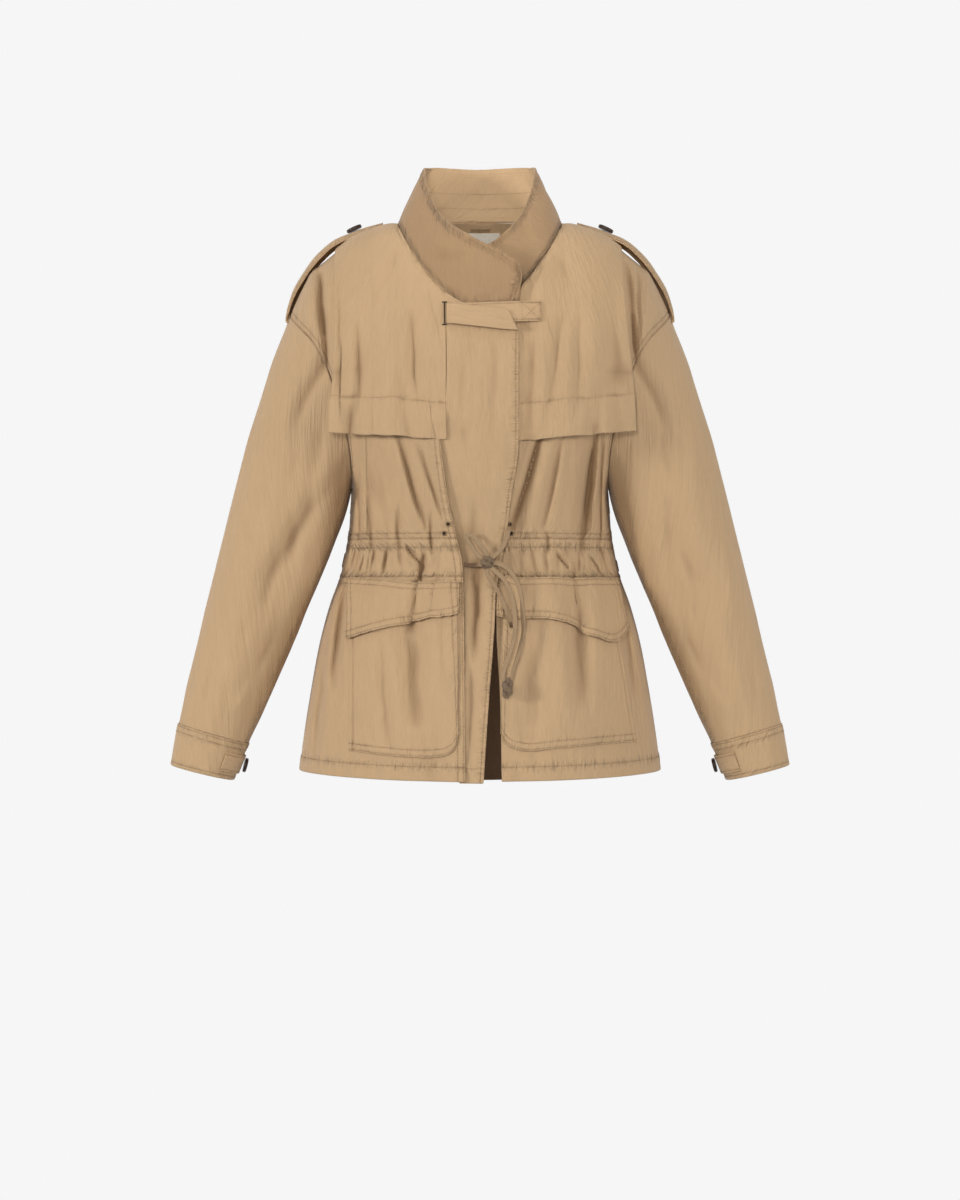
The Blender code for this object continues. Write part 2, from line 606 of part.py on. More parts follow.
def build_placket():
    z = np.concatenate([
        np.linspace(PLACKET[0].z, -0.43, 8), np.linspace(-0.40, -0.20, 10), (-0.165, -0.14, PLACKET_TOP),
    ])
    t = np.linspace(0, 1, 7)
    left = read(PLACKET, "z", "left", z)[:, None]
    right = read(PLACKET, "z", "right", z)[:, None]
    x = left + (right - left) * t
    z = np.repeat(z[:, None], len(t), axis=1)
    across = ease(-0.030, 0.012, x)
    out = read(PLACKET_LIFT, "z", "out", z) * (1 - across) + PLACKET_RIGHT_OUT * across
    soft = 0.0012 * np.sin(math.pi * t)[None, :] ** 2 * np.sin((z + 0.11) * 26)
    grid = np.stack([x, front_y(x, z) - out - soft * ease(-0.62, -0.45, z), z], axis=2)
    sheet("placket", grid, PLACKET_CLOTH)


def flap_top(x):
    """Upper edge of a storm flap: just outside the collar seam, then along the shoulder."""
    wide = NECK_X + FLAP_NECK_GAP
    share = np.clip(x / wide, 0, 1)
    below_collar = NECK_Z - FLAP_NECK_GAP - NECK_DROP * (1 - share ** NECK_POWER)
    return np.where(x < wide, np.minimum(below_collar, ridge_height(wide)), ridge_height(x))


def build_flap(name, sign, inner, outer, hem, columns, rows):
    """Storm flap: sewn at the shoulder and collar seam, loose below."""
    t = np.concatenate([np.linspace(0, 0.62, rows), (0.71, 0.81, 0.885, 0.943, 0.981, 1.0)])
    width = float(read(outer, "z", "x", -0.04)) - inner
    s = column_shares(0.0, 1.0, (NECK_X + FLAP_NECK_GAP - inner) / width, *columns)
    top_x = inner + width * s
    top_z = flap_top(top_x)
    low_x = inner + (read(outer, "z", "x", -0.26) - inner) * s
    low_z = read(hem, "x", "z", low_x)
    x = np.zeros((len(t), len(s)))
    z = np.zeros_like(x)
    for i, share in enumerate(t):
        z[i] = low_z + share * (top_z - low_z)
        x[i] = inner + (read(outer, "z", "x", z[i]) - inner) * s
    x *= sign
    drape = 0.0030 * np.sin(s * math.pi * 4.2 + 0.6)[None, :] * (1 - ease(0.0, 0.75, t))[:, None]
    drape = drape * np.sin(np.clip(s * 1.15, 0, 1) * math.pi / 2)[None, :]
    grid = np.stack([x, front_y(x, z, FLAP_REACH), z], axis=2)
    out = read(FLAP_LIFT, "z", "out", z) + drape
    if sign > 0:
        out = FLAP_TUCK + (out - FLAP_TUCK) * ease(0.052, 0.070, x)
    sheet(name, lifted(grid, out), FLAP_CLOTH)


# ---- collar ----

def collar_foot(turn):
    """Point of the collar foot at a turn in degrees round the neck, from the centre front."""
    angle = math.radians(turn)
    x = -NECK_X * math.sin(angle)
    if 90.0 < turn < 270.0:
        z = float(back_neckline(x))
        y = float(RIDGE_Y + SEAM / 2 + depth(x, z, "back"))
    else:
        z = float(neckline(x))
        if turn < COLLAR_LEVEL_TURN:
            z = float(neckline(0.0)) + COLLAR_LEVEL_RISE
        y = float(RIDGE_Y - SEAM / 2 - depth(x, z, "front"))
        if turn < 90.0:
            y -= COLLAR_LAP * float(ease(-0.090, -0.060, x))
        else:
            y += LEFT_PUSH * float(1 - ease(0.046, 0.085, x))
    return np.array([x, y, z + COLLAR_FOOT_GAP])


def build_collar():
    turns = np.concatenate([
        np.linspace(-27, -20, 3), np.linspace(-14, 60, 10), np.linspace(70, 290, 21),
        np.linspace(300, 376, 9),
    ])
    rows = np.linspace(0, 1, 5)
    grid = np.zeros((len(rows), len(turns), 3))
    for j, turn in enumerate(turns):
        foot = collar_foot(turn)
        top = np.array([read(COLLAR_TOP, "turn", axis, turn) for axis in ("x", "y", "z")])
        for i, t in enumerate(rows):
            grid[i, j] = foot + (top - foot) * t
    sheet("collar", grid, COLLAR_CLOTH, outward=collar_outward(grid))


def collar_outward(grid):
    columns = grid.shape[1]
    here = grid[2, (columns - 1) // 2].copy()
    here[2] = 0.0
    return here


# ---- sleeves ----

def armhole(sign):
    """Points of the armhole from the shoulder tip down the front and up the back."""
    front = upper_grid(left_edge, 1, (7, 9), "front")[3:, -1]
    back = upper_grid(centre_back, 1, (5, 6), "back")[3:, -1]
    tip = (front[-1] + back[-1]) / 2
    under = (front[0] + back[0]) / 2
    ring = np.concatenate([[tip], front[-2:0:-1], [under], back[1:-1]])
    return ring


def ring_angles(ring):
    """Turn of each armhole point round the first sleeve ring."""
    first = SLEEVE[0]
    out = np.array([first.out_x, first.out_z])
    inn = np.array([first.in_x, first.in_z])
    run = out - inn
    share = ((ring[:, [0, 2]] - inn) @ run) / (run @ run)
    angle = np.arccos(np.clip(2 * share - 1, -1, 1))
    half = len(ring) // 2
    angle[half + 1:] = 2 * math.pi - angle[half + 1:]
    return angle


def sleeve_ring(t, angle):
    """Plain oval ring of the sleeve at place t down its length."""
    index = range(len(SLEEVE))
    value = {k: float(smooth(index, [getattr(r, k) for r in SLEEVE], t)) for k in Ring._fields}
    mid = np.array([(value["out_x"] + value["in_x"]) / 2, value["mid_y"], (value["out_z"] + value["in_z"]) / 2])
    run = np.array([(value["out_x"] - value["in_x"]) / 2, 0.0, (value["out_z"] - value["in_z"]) / 2])
    points = mid + np.cos(angle)[:, None] * run
    points[:, 1] -= np.sin(angle) * value["deep"]
    return points, mid


def sleeve_grid(places, sign):
    ring = armhole(sign)
    angle = ring_angles(ring)
    first, _ = sleeve_ring(0.0, angle)
    shift = ring - first
    normal = np.array([0.941, 0.0, -0.339])
    grid = []
    for t in places:
        points, mid = sleeve_ring(t, angle)
        blend = max(0.0, 1 - t / BLEND_RINGS) ** 2
        points = points + shift * blend
        rise = np.zeros(len(angle))
        degrees = np.degrees(angle)
        for crease in SLEEVE_CREASES:
            centre = crease.turn + crease.slant * (t - crease.ring)
            apart = (degrees - centre + 180) % 360 - 180
            rise += crease.rise * np.exp(-((apart / crease.wide) ** 2) - ((t - crease.ring) / crease.long) ** 2)
        fade = min(1.0, max(0.0, t / 1.2)) * min(1.0, max(0.0, (9.0 - t) / 1.0))
        out = points - mid
        out /= np.linalg.norm(out, axis=1, keepdims=True)
        points = points + out * (rise * fade)[:, None]
        grid.append(points + normal * SEAM * 1.3 * (1 if t < 0.3 else 0.5))
    grid = np.array(grid)
    grid[..., 0] *= sign
    return grid


def tube(name, grid, thick, colour=TAN):
    """A closed ring of cloth, thickened inward."""
    middle = grid.mean(axis=1)
    row = (grid.shape[0] - 1) // 2
    column = (grid.shape[1] - 1) // 2
    return sheet(name, grid, thick, colour, ring=True, outward=grid[row, column] - middle[row])


def half_sleeve(grid, first, last):
    """The front or back half of the sleeve's rings, drawn back from the seams at both ends."""
    columns = [k % grid.shape[1] for k in range(first, last + 1)]
    half = grid[:, columns].copy()
    for edge, inward in ((0, 1), (-1, -2)):
        step = half[:, inward] - half[:, edge]
        half[:, edge] += step / np.linalg.norm(step, axis=1, keepdims=True) * SLEEVE_SEAM / 2
    return half


def build_sleeves():
    for name, sign in (("right", -1), ("left", 1)):
        grid = sleeve_grid(SLEEVE_PLACES, sign)
        middle = grid.mean(axis=1)
        around = grid.shape[1]
        for part, first, last in (("front", 0, around // 2), ("back", around // 2, around)):
            half = half_sleeve(grid, first, last)
            row = (half.shape[0] - 1) // 2
            column = (half.shape[1] - 1) // 2
            away = half[row, column] - middle[row]
            sheet("sleeve_" + name + "_" + part, half, CLOTH, outward=away)
        grid = sleeve_grid(CUFF_PLACES, sign)
        middle = grid.mean(axis=1, keepdims=True)
        out = grid - middle
        out /= np.linalg.norm(out, axis=2, keepdims=True)
        tube("cuff_" + name, grid + out * CUFF_PROUD, CUFF_CLOTH)


# ---- pockets ----

def patch_grid(rows_table, sign, columns, rows, proud, bulge, base, slope=0.0, lean=0.0):
    """A patch laid on the front skirt and moved out from it."""
    first = rows_table[0].x
    last = rows_table[-1].x
    s = np.linspace(0, 1, columns + 1)
    s = np.concatenate([[0, 0.03, 0.08], s[2:]]) if rows_table[0].low > rows_table[2].low else s
    x = first + (last - first) * s
    top = read(rows_table, "x", "top", x)
    low = read(rows_table, "x", "low", x)
    t = np.linspace(0, 1, rows + 1)
    z = low[None, :] + (top - low)[None, :] * t[:, None]
    x = (x[None, :] + lean * s[None, :] ** 2 * (z - z.min())) * sign
    out = base(x, z) + proud
    swell = np.sin(math.pi * s)[None, :] * np.sin(math.pi * np.clip(t, 0, 1))[:, None]
    out = out + bulge * np.sqrt(np.clip(swell, 0, 1)) + slope * (1 - t)[:, None]
    grid = np.stack([x, front_y(x, z), z], axis=2)
    return lifted(grid, out)


def build_pockets():
    for name, sign, pocket, flap, base, pocket_lean, flap_lean in (
        ("right", -1, RIGHT_POCKET, RIGHT_POCKET_FLAP, right_out, 0.0, 0.0),
        ("left", 1, LEFT_POCKET, LEFT_POCKET_FLAP, left_out, LEFT_POCKET_LEAN, LEFT_FLAP_LEAN),
    ):
        grid = patch_grid(pocket, sign, 10, 7, POCKET_PROUD, POCKET_BULGE, base, 0.0, pocket_lean)
        sheet("pocket_" + name, grid, CLOTH)
        grid = patch_grid(flap, sign, 10, 3, POCKET_FLAP_PROUD, 0.0, base, 0.0012, flap_lean)
        sheet("pocket_flap_" + name, grid, FLAP_CLOTH)


# ---- small pieces ----

def build_epaulettes():
    run = np.linspace(0, 1, len(EPAULETTE))
    along = np.concatenate([np.linspace(0, 0.86, 11), (0.93, 1.0)])
    across = np.linspace(-1, 1, 5)
    for name, sign in (("right", -1), ("left", 1)):
        value = {k: smooth(run, [getattr(r, k) for r in EPAULETTE], along) for k in Epaulette._fields}
        x = value["x"][:, None] + 0 * across
        y = RIDGE_Y + value["wide"][:, None] / 2 * across
        z = value["z"][:, None] - value["droop"][:, None] * across ** 2
        grid = np.stack([sign * x, y, z], axis=2)
        sheet("epaulette_" + name, grid, STRAP_CLOTH, outward=np.array([sign * 0.5, 0.0, 1.0]))


def button(name, centre, facing, radius, thick):
    """A dark button with a raised rim: a turned outline set square to the way it faces."""
    outline = (
        (0.0, 0.0), (radius * 0.92, 0.0), (radius, thick * 0.35), (radius * 0.97, thick * 0.85),
        (radius * 0.86, thick), (radius * 0.72, thick * 0.72), (0.0, thick * 0.66),
    )
    sides = 16
    facing = np.asarray(facing, float)
    facing /= np.linalg.norm(facing)
    helper = np.array([0.0, 1.0, 0.0]) if abs(facing[1]) < 0.9 else np.array([1.0, 0.0, 0.0])
    a = np.cross(facing, helper)
    a /= np.linalg.norm(a)
    b = np.cross(facing, a)
    points = [tuple(centre + facing * outline[0][1])]
    for r, h in outline[1:-1]:
        for k in range(sides):
            angle = 2 * math.pi * k / sides
            points.append(tuple(centre + a * r * math.cos(angle) + b * r * math.sin(angle) + facing * h))
    points.append(tuple(centre + facing * outline[-1][1]))
    last = len(points) - 1
    rings = len(outline) - 2
    faces = []
    for k in range(sides):
        n = (k + 1) % sides
        faces.append((0, 1 + n, 1 + k))
        for ring in range(rings - 1):
            low = 1 + ring * sides
            high = low + sides
            faces.append((low + k, low + n, high + n, high + k))
        top = 1 + (rings - 1) * sides
        faces.append((top + k, top + n, last))
    mesh = bpy.data.meshes.new(name)
    mesh.from_pydata(points, [], faces)
    return place(name, mesh, DARK, 0.35)


def build_buttons():
    for name, sign in (("right", -1), ("left", 1)):
        button("epaulette_button_" + name, np.array([sign * 0.1480, RIDGE_Y, -0.0168]),
               (sign * 0.42, 0.0, 0.91), 0.0095, 0.0040)


def ellipsoid(name, centre, radii, colour=TAN, segments=12, rings=8):
    mesh = bpy.data.meshes.new(name)
    points = [(centre[0], centre[1], centre[2] + radii[2])]
    for i in range(1, rings):
        polar = math.pi * i / rings
        for k in range(segments):
            turn = 2 * math.pi * k / segments
            points.append((
                centre[0] + radii[0] * math.sin(polar) * math.cos(turn),
                centre[1] + radii[1] * math.sin(polar) * math.sin(turn),
                centre[2] + radii[2] * math.cos(polar),
            ))
    points.append((centre[0], centre[1], centre[2] - radii[2]))
    last = len(points) - 1
    faces = []
    for k in range(segments):
        n = (k + 1) % segments
        faces.append((0, 1 + k, 1 + n))
        for i in range(rings - 2):
            high = 1 + i * segments
            low = high + segments
            faces.append((high + k, low + k, low + n, high + n))
        base = 1 + (rings - 2) * segments
        faces.append((base + k, last, base + n))
    mesh.from_pydata(points, [], faces)
    return place(name, mesh, colour)


def front_point(x, z, out):
    """Point standing out from the front of the body, square to the view from the front."""
    return np.stack(np.broadcast_arrays(x, front_y(x, z) - out, z), axis=-1)


def ribbon(name, grid, thick, colour=TAN):
    """A narrow strap: a grid of points on its middle, thickened to both sides."""
    rows, columns = grid.shape[:2]
    faces = []
    for i in range(rows - 1):
        for j in range(columns - 1):
            a = i * columns + j
            faces.append((a, a + 1, a + columns + 1, a + columns))
    mesh = bpy.data.meshes.new(name)
    mesh.from_pydata([tuple(p) for p in grid.reshape(-1, 3)], [], faces)
    made = place(name, mesh, colour)
    wall = made.modifiers.new("wall", "SOLIDIFY")
    wall.thickness = thick
    wall.offset = 0.0
    return made


def build_latch():
    """Throat latch: a strap sewn to the left flap that folds back over its bar at the right."""
    lower = [(r.x, r.out, r.z) for r in LATCH_LOWER]
    turn = []
    for k in range(1, 6):
        angle = math.pi * k / 6
        turn.append((LATCH_FOLD_X - LATCH_FOLD * math.sin(angle), LATCH_FOLD_OUT - LATCH_FOLD * math.cos(angle),
                     LATCH_FOLD_Z))
    upper = [(r.x, r.out, r.z) for r in LATCH_UPPER]
    path = np.array(lower + turn + upper)
    across = np.linspace(-1, 1, 5)
    slant = np.zeros(len(path))
    slant[-3:] = (0.15, 0.6, 1.0)
    x = path[:, 0] + LATCH_SLANT * slant * across[:, None] * -1.0
    z = path[:, 2] + LATCH_HALF * across[:, None]
    y = front_y(x, z) - path[:, 1]
    ribbon("throat_latch", np.stack([x, y, z], axis=2), STRAP_CLOTH)


def slab(name, outline, out, thick, colour):
    """A thin flat piece with the given outline, standing on the front."""
    count = len(outline)
    points = [tuple(front_point(x, z, out)) for x, z in outline]
    points += [tuple(front_point(x, z, out + thick)) for x, z in outline]
    faces = [tuple(reversed(range(count))), tuple(range(count, 2 * count))]
    for k in range(count):
        n = (k + 1) % count
        faces.append((k, n, n + count, k + count))
    mesh = bpy.data.meshes.new(name)
    mesh.from_pydata(points, [], faces)
    return place(name, mesh, colour, flat=True)


def build_latch_bar():
    half = BAR_HALF_WIDE
    top = BAR_TOP
    low = BAR_LOW
    near = BAR_X - half
    far = BAR_X + half
    tack = BAR_TACK
    outline = (
        (near - tack, low), (far + tack, low), (far + tack, low + 2 * half), (far, low + 2 * half),
        (far, top - 2 * half), (far + tack, top - 2 * half), (far + tack, top), (near - tack, top),
        (near - tack, top - 2 * half), (near, top - 2 * half), (near, low + 2 * half),
        (near - tack, low + 2 * half),
    )
    slab("latch_bar", outline, BAR_OUT, BAR_THICK, DARK)


def build_neck_trim():
    for trim in NECK_TRIM:
        x = np.linspace(-trim.half, trim.half, 7)[None, :]
        z = np.linspace(trim.low, trim.top, 3)[:, None]
        x, z = np.broadcast_arrays(x, z)
        grid = np.stack([x, back_y(x, z) - CLOTH - trim.gap - trim.thick, z], axis=2)
        sheet(trim.name, grid, trim.thick, trim.colour, outward=np.array([0.0, -1.0, 0.0]))


def build_eyelets():
    for name, spot in EYELETS:
        out = right_out if spot.x < 0 else left_out
        centre = front_point(spot.x, spot.z, float(out(spot.x, spot.z)) + EYELET_WIRE + 0.0011)
        step = 0.004
        normal = np.array([
            -float(front_y(spot.x + step, spot.z) - front_y(spot.x - step, spot.z)) / (2 * step), 1.0,
            -float(front_y(spot.x, spot.z + step) - front_y(spot.x, spot.z - step)) / (2 * step),
        ])
        normal /= -np.linalg.norm(normal)
        side = np.cross(normal, (0.0, 0.0, 1.0))
        side /= np.linalg.norm(side)
        up = np.cross(side, normal)
        around, across = 12, 5
        points = []
        for i in range(around):
            a = 2 * math.pi * i / around
            spoke = side * math.cos(a) + up * math.sin(a)
            for j in range(across):
                b = 2 * math.pi * j / across
                radius = EYELET_RADIUS + EYELET_WIRE * math.cos(b)
                points.append(tuple(centre + spoke * radius + normal * EYELET_WIRE * math.sin(b)))
        faces = []
        for i in range(around):
            for j in range(across):
                n = (i + 1) % around
                m = (j + 1) % across
                faces.append((i * across + j, i * across + m, n * across + m, n * across + j))
        mesh = bpy.data.meshes.new(name)
        mesh.from_pydata(points, [], faces)
        place(name, mesh, ANTIQUE, 0.4)


def cord(name, route):
    """A drawstring run: a tube along a smooth curve through its route points."""
    table = np.array([tuple(front_point(p.x, p.z, p.out)) for p in route])
    legs = np.linalg.norm(np.diff(table, axis=0), axis=1)
    run = np.concatenate([[0], np.cumsum(legs)])
    count = max(3, int(run[-1] / CORD_STEP) + 1)
    places = np.linspace(0, run[-1], count)
    curve = bpy.data.curves.new(name, "CURVE")
    curve.dimensions = "3D"
    curve.bevel_depth = CORD_RADIUS
    curve.bevel_resolution = 2
    curve.use_fill_caps = True
    spline = curve.splines.new("POLY")
    spline.points.add(count - 1)
    for k in range(count):
        point = [float(smooth(run, table[:, axis], places[k])) for axis in range(3)]
        spline.points[k].co = (*point, 1.0)
    made = bpy.data.objects.new(name, curve)
    jacket.objects.link(made)
    curve.materials.append(material(name + "_material", TAN, 0.85))


def build_drawstring():
    for name, route in CORDS:
        cord(name, route)
    ellipsoid("bow_knot", front_point(BOW.x, BOW.z, BOW_OUT), BOW_RADII)
    ellipsoid("end_knot", front_point(END_KNOT.x, END_KNOT.z, END_OUT), END_RADII)


def cuff_point(turn, place, out):
    """Point on a cuff by its turn in degrees, from the outer side round the front."""
    angle = np.radians(np.atleast_1d(np.asarray(turn, float)))
    points, middle = sleeve_ring(place, angle)
    away = points - middle
    away /= np.linalg.norm(away, axis=1, keepdims=True)
    return points + away * out, away


def build_cuff_tabs():
    turns = np.linspace(TAB_START, TAB_END, 9)
    for name, sign in (("right", -1), ("left", 1)):
        grid = []
        for share in np.linspace(-1, 1, 4):
            row = []
            for turn in turns:
                taper = 1 - 0.75 * float(ease(TAB_END - 14, TAB_END, turn))
                point, _ = cuff_point(turn, TAB_MID + share * TAB_HALF * taper, CUFF_PROUD + TAB_OUT)
                row.append(point[0])
            grid.append(row)
        grid = np.array(grid)
        grid[..., 0] *= sign
        point, away = cuff_point(TAB_BUTTON, TAB_MID, CUFF_PROUD + TAB_OUT + 0.0018)
        facing = away[0] * (sign, 1, 1)
        sheet("cuff_tab_" + name, grid, STRAP_CLOTH, outward=grid[1, 4] - sleeve_middle(TAB_MID, sign))
        button("cuff_button_" + name, point[0] * (sign, 1, 1), facing, 0.0085, 0.0036)


def sleeve_middle(place, sign):
    _, middle = sleeve_ring(place, np.zeros(1))
    return middle * (sign, 1, 1)


clear_scene()
jacket = bpy.data.collections.new("trench_jacket")
bpy.context.scene.collection.children.link(jacket)
build_body()
build_placket()
build_flap("storm_flap_right", -1, RIGHT_FLAP_IN, RIGHT_FLAP_OUT, RIGHT_FLAP_HEM, (6, 7), 6)
build_flap("storm_flap_left", 1, LEFT_FLAP_IN, LEFT_FLAP_OUT, LEFT_FLAP_HEM, (7, 7), 6)
build_collar()
build_sleeves()
build_pockets()
build_epaulettes()
build_buttons()
build_latch()
build_latch_bar()
build_neck_trim()
build_eyelets()
build_drawstring()
build_cuff_tabs()
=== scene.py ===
"""Trench jacket: the finished look of a short cotton jacket in the shape it takes on a wearer, built on its
frame.

Every panel is a thin closed shell worked out from the same tables as its solid, with the creases,
seams and hems of the cloth laid into its outer face, and stitching placed along the seams by
Geometry Nodes.
"""

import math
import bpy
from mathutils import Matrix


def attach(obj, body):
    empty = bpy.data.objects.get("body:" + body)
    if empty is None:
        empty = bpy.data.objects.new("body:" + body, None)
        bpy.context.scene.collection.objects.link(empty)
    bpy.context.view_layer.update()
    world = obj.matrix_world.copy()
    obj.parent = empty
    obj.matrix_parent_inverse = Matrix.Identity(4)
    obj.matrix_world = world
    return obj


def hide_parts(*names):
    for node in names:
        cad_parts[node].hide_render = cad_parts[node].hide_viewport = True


bl_info = {
    "name": "Trench jacket",
    "version": (1, 0, 0),
    "blender": (4, 5, 0),
    "location": "View3D > Sidebar > Jacket",
    "description": "Builds the cloth, stitching and trims of a short trench jacket on its frame",
    "category": "Add Mesh",
}

from collections import namedtuple

import bpy
import numpy as np
from bpy.props import FloatProperty, FloatVectorProperty, PointerProperty
from bpy.types import Operator, Panel, PropertyGroup
from mathutils import Vector

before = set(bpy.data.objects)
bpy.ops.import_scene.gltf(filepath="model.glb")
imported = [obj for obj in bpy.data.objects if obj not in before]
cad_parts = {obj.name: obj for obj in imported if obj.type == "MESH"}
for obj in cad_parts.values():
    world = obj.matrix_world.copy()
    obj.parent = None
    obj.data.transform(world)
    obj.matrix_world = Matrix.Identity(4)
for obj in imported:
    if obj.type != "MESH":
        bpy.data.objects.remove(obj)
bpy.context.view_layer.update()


def table(kind, *rows):
    """Rows of one kind, each given as plain values in the order of its fields."""
    return tuple(kind(*row) for row in rows)


def lengths(kind, *rows):
    """Rows of one kind, written in millimetres and kept in metres."""
    return tuple(kind(*(value / 1000 for value in row)) for row in rows)


# ---- sizes of the jacket, in metres unless given by lengths(); right and left are the wearer's ----
SIDES = (("right", -1), ("left", 1))
# thickness of the cloth of each kind of piece
CLOTH = 0.0012
FLAP_CLOTH = 0.0015
PLACKET_CLOTH = 0.0018
COLLAR_CLOTH = 0.0024
CUFF_CLOTH = 0.002
STRAP_CLOTH = 0.0018
TAB_CLOTH = 0.0014
# gap between joined panels, and the body's shape: shoulder line, roundness, neck, armhole, waist, hem
SEAM = 0.0004
RIDGE_Y = 0.01
BELLY = 2.3
ROLL = 0.12
ROLL_POWER = 2.2
NECK_X = 0.0968
NECK_Z = -0.0103
NECK_RISE = 0.045
NECK_LEAN = 0.25
NECK_TURN = 1.7
NECK_DROP = 0.1035
NECK_POWER = 2.1
TIP_X = 0.2242
TIP_Z = -0.1201
ARM_Z = -0.3218
CASING_TOP = -0.384
CASING_LOW = -0.4275
HEM_SIDE = -0.6534
HEM_FRONT_DROP = 0.0066
HEM_BACK_DROP = 0.0216

# the shoulder line, outwards from the neck
Ridge = namedtuple("Ridge", "x z")
RIDGE = lengths(
    Ridge,
    (96.8, -10.3), (120, -16), (152, -29), (170, -43.4), (189, -58.7), (199.4, -67), (206.5, -80),
    (212.4, -91.7), (219.5, -107), (224.2, -120.1),
)
# the body at each height: half width, reach of its roundness, depth in front and behind
Trunk = namedtuple("Trunk", "z half reach front back")
TRUNK = lengths(
    Trunk,
    (-660, 214, 214, 167, 159), (-607, 207, 207, 161, 153), (-554, 198.5, 198.5, 153, 145),
    (-501, 188.5, 188.5, 141, 130), (-454, 175.5, 175.5, 124, 110), (-425.5, 165, 165, 113, 98),
    (-404, 160, 160, 111, 96), (-381, 155.5, 155.5, 113, 97), (-355, 153, 153, 119, 101),
    (-322, 151.2, 151.2, 127, 108), (-300, 150.5, 158.5, 130, 112), (-268, 153.5, 173, 134, 118),
    (-233, 161.5, 192, 136, 124), (-196, 173.5, 212, 133, 126), (-158, 192, 236, 124, 124),
    (-120.1, 224.2, 262, 112, 118), (-50, 224.2, 300, 90, 95), (0, 224.2, 300, 80, 75),
)

# folds: a line from top to low end seen from the front or back, its half width and its rise
Fold = namedtuple("Fold", "x_top z_top x_low z_low wide rise")
FOLDS = lengths(
    Fold,
    (-100, -250, -64, -385, 11, 5), (-139, -260, -118, -385, 12, -4.5), (70, -245, 38, -385, 10, -5),
    (129, -240, 115, -400, 8, -6.5), (143, -240, 137, -400, 7, 5), (98, -250, 88, -385, 12, 3.5),
    (-110, -640, -100, -500, 20, 3), (115, -640, 108, -500, 22, 3),
)
BACK_FOLDS = lengths(
    Fold,
    (-105, -180, -70, -385, 14, 5), (98, -170, 76, -385, 14, 4.5), (-135, -230, -120, -385, 12, -4),
    (133, -240, 121, -385, 12, -4.5), (-80, -680, -70, -430, 22, 4), (60, -680, 58, -430, 22, 4),
    (140, -660, 120, -430, 18, -4),
)

# finer folds of the fronts, read off along the same lines; a negative rise is a valley
PANEL_FOLDS = lengths(
    Fold,
    (-96.5, -250, -61, -378, 3.6, -8.5), (-108, -262, -80, -384, 7, 2.2), (-74, -270, -42, -364, 3, -4.8),
    (-85, -262, -54, -370, 4, 2), (-143, -305, -139, -412, 3.4, -7), (-131, -330, -122, -412, 3.4, -5.6),
    (-148, -265, -145, -360, 4, 2), (-118, -290, -106, -380, 6, -2.4), (-95, -340, -92, -414, 3, -4.6),
    (-58, -350, -54.5, -412, 2.6, -4.4), (72, -252, 35, -375, 3.4, -9), (61, -258, 40, -350, 4, 2.2),
    (95, -255, 71, -384, 4, -5.2), (83, -258, 56, -384, 6, 2.4), (115, -258, 100, -384, 7, 3),
    (134.5, -250, 115, -404, 4.8, -10), (138.5, -255, 129, -400, 2.4, 4.2),
    (142.5, -250, 138.5, -404, 2.5, -8.5), (148, -258, 144, -400, 2.6, 3.6),
    (76.7, -370, 77, -406, 2.4, -4), (-87, -390, -65, -419, 2.2, -6.2), (-93, -396, -70, -416, 2, 3.6),
    (-64, -400, -69, -442, 2.8, -7), (-66, -412, -78, -496, 8.5, -7.5), (-56, -398, -60, -424, 2.4, 3.6),
    (-48, -424, -56, -480, 5, -4), (-144, -396, -156, -428, 2.6, -6), (-135, -394, -144, -428, 2.4, 4.4),
    (-120, -394, -128, -424, 2.2, -4.8), (-106, -394, -113, -424, 2.2, -4.2),
    (88, -394, 105, -412, 2, 5.4), (90, -401, 102, -417, 1.7, -5), (104, -404, 104.5, -432, 2.2, 4.6),
    (106, -408, 108, -466, 4.4, -6), (122.5, -392, 139, -416, 2.2, 5.2),
    (126, -398, 140, -424, 1.9, -5.6), (139, -392, 154, -428, 2.2, -6), (116, -394, 113, -424, 2.2, -4.4),
    (74, -396, 79, -424, 2.2, -3.6), (60, -396, 64, -424, 2.2, -3), (-80, -430, -74, -605, 18.5, -11),
    (-56, -450, -54, -610, 12, 3.6), (-125, -440, -120, -590, 12, 3.6), (-44, -450, -45, -570, 7, -2.4),
    (-112, -500, -104, -626, 9, -6), (-134, -470, -136, -620, 11, 2.6), (108, -420, 114, -585, 15, -10),
    (94, -455, 96, -600, 9, 3.4), (128, -450, 131, -600, 8, 2.6), (62, -460, 60, -600, 12, -3),
    (-156, -416, -172, -560, 5.6, -13), (-180, -500, -192, -640, 6, -10), (-168, -440, -184, -620, 7, 3),
    (-150, -500, -158, -650, 8, 2), (164, -420, 179, -570, 5, -10), (176, -500, 192, -650, 7, -5),
    (-187.5, -55, -180, -150, 4.2, -11), (-183, -110, -175, -205, 4, -8), (170, -40, 179, -170, 4.4, -10),
    (176, -120, 180, -205, 4, -8), (183, -46, 185, -160, 2.2, -5.6), (192, -80, 189, -170, 5, 2.5),
    (-196, -90, -188, -180, 5, 2.2),
)
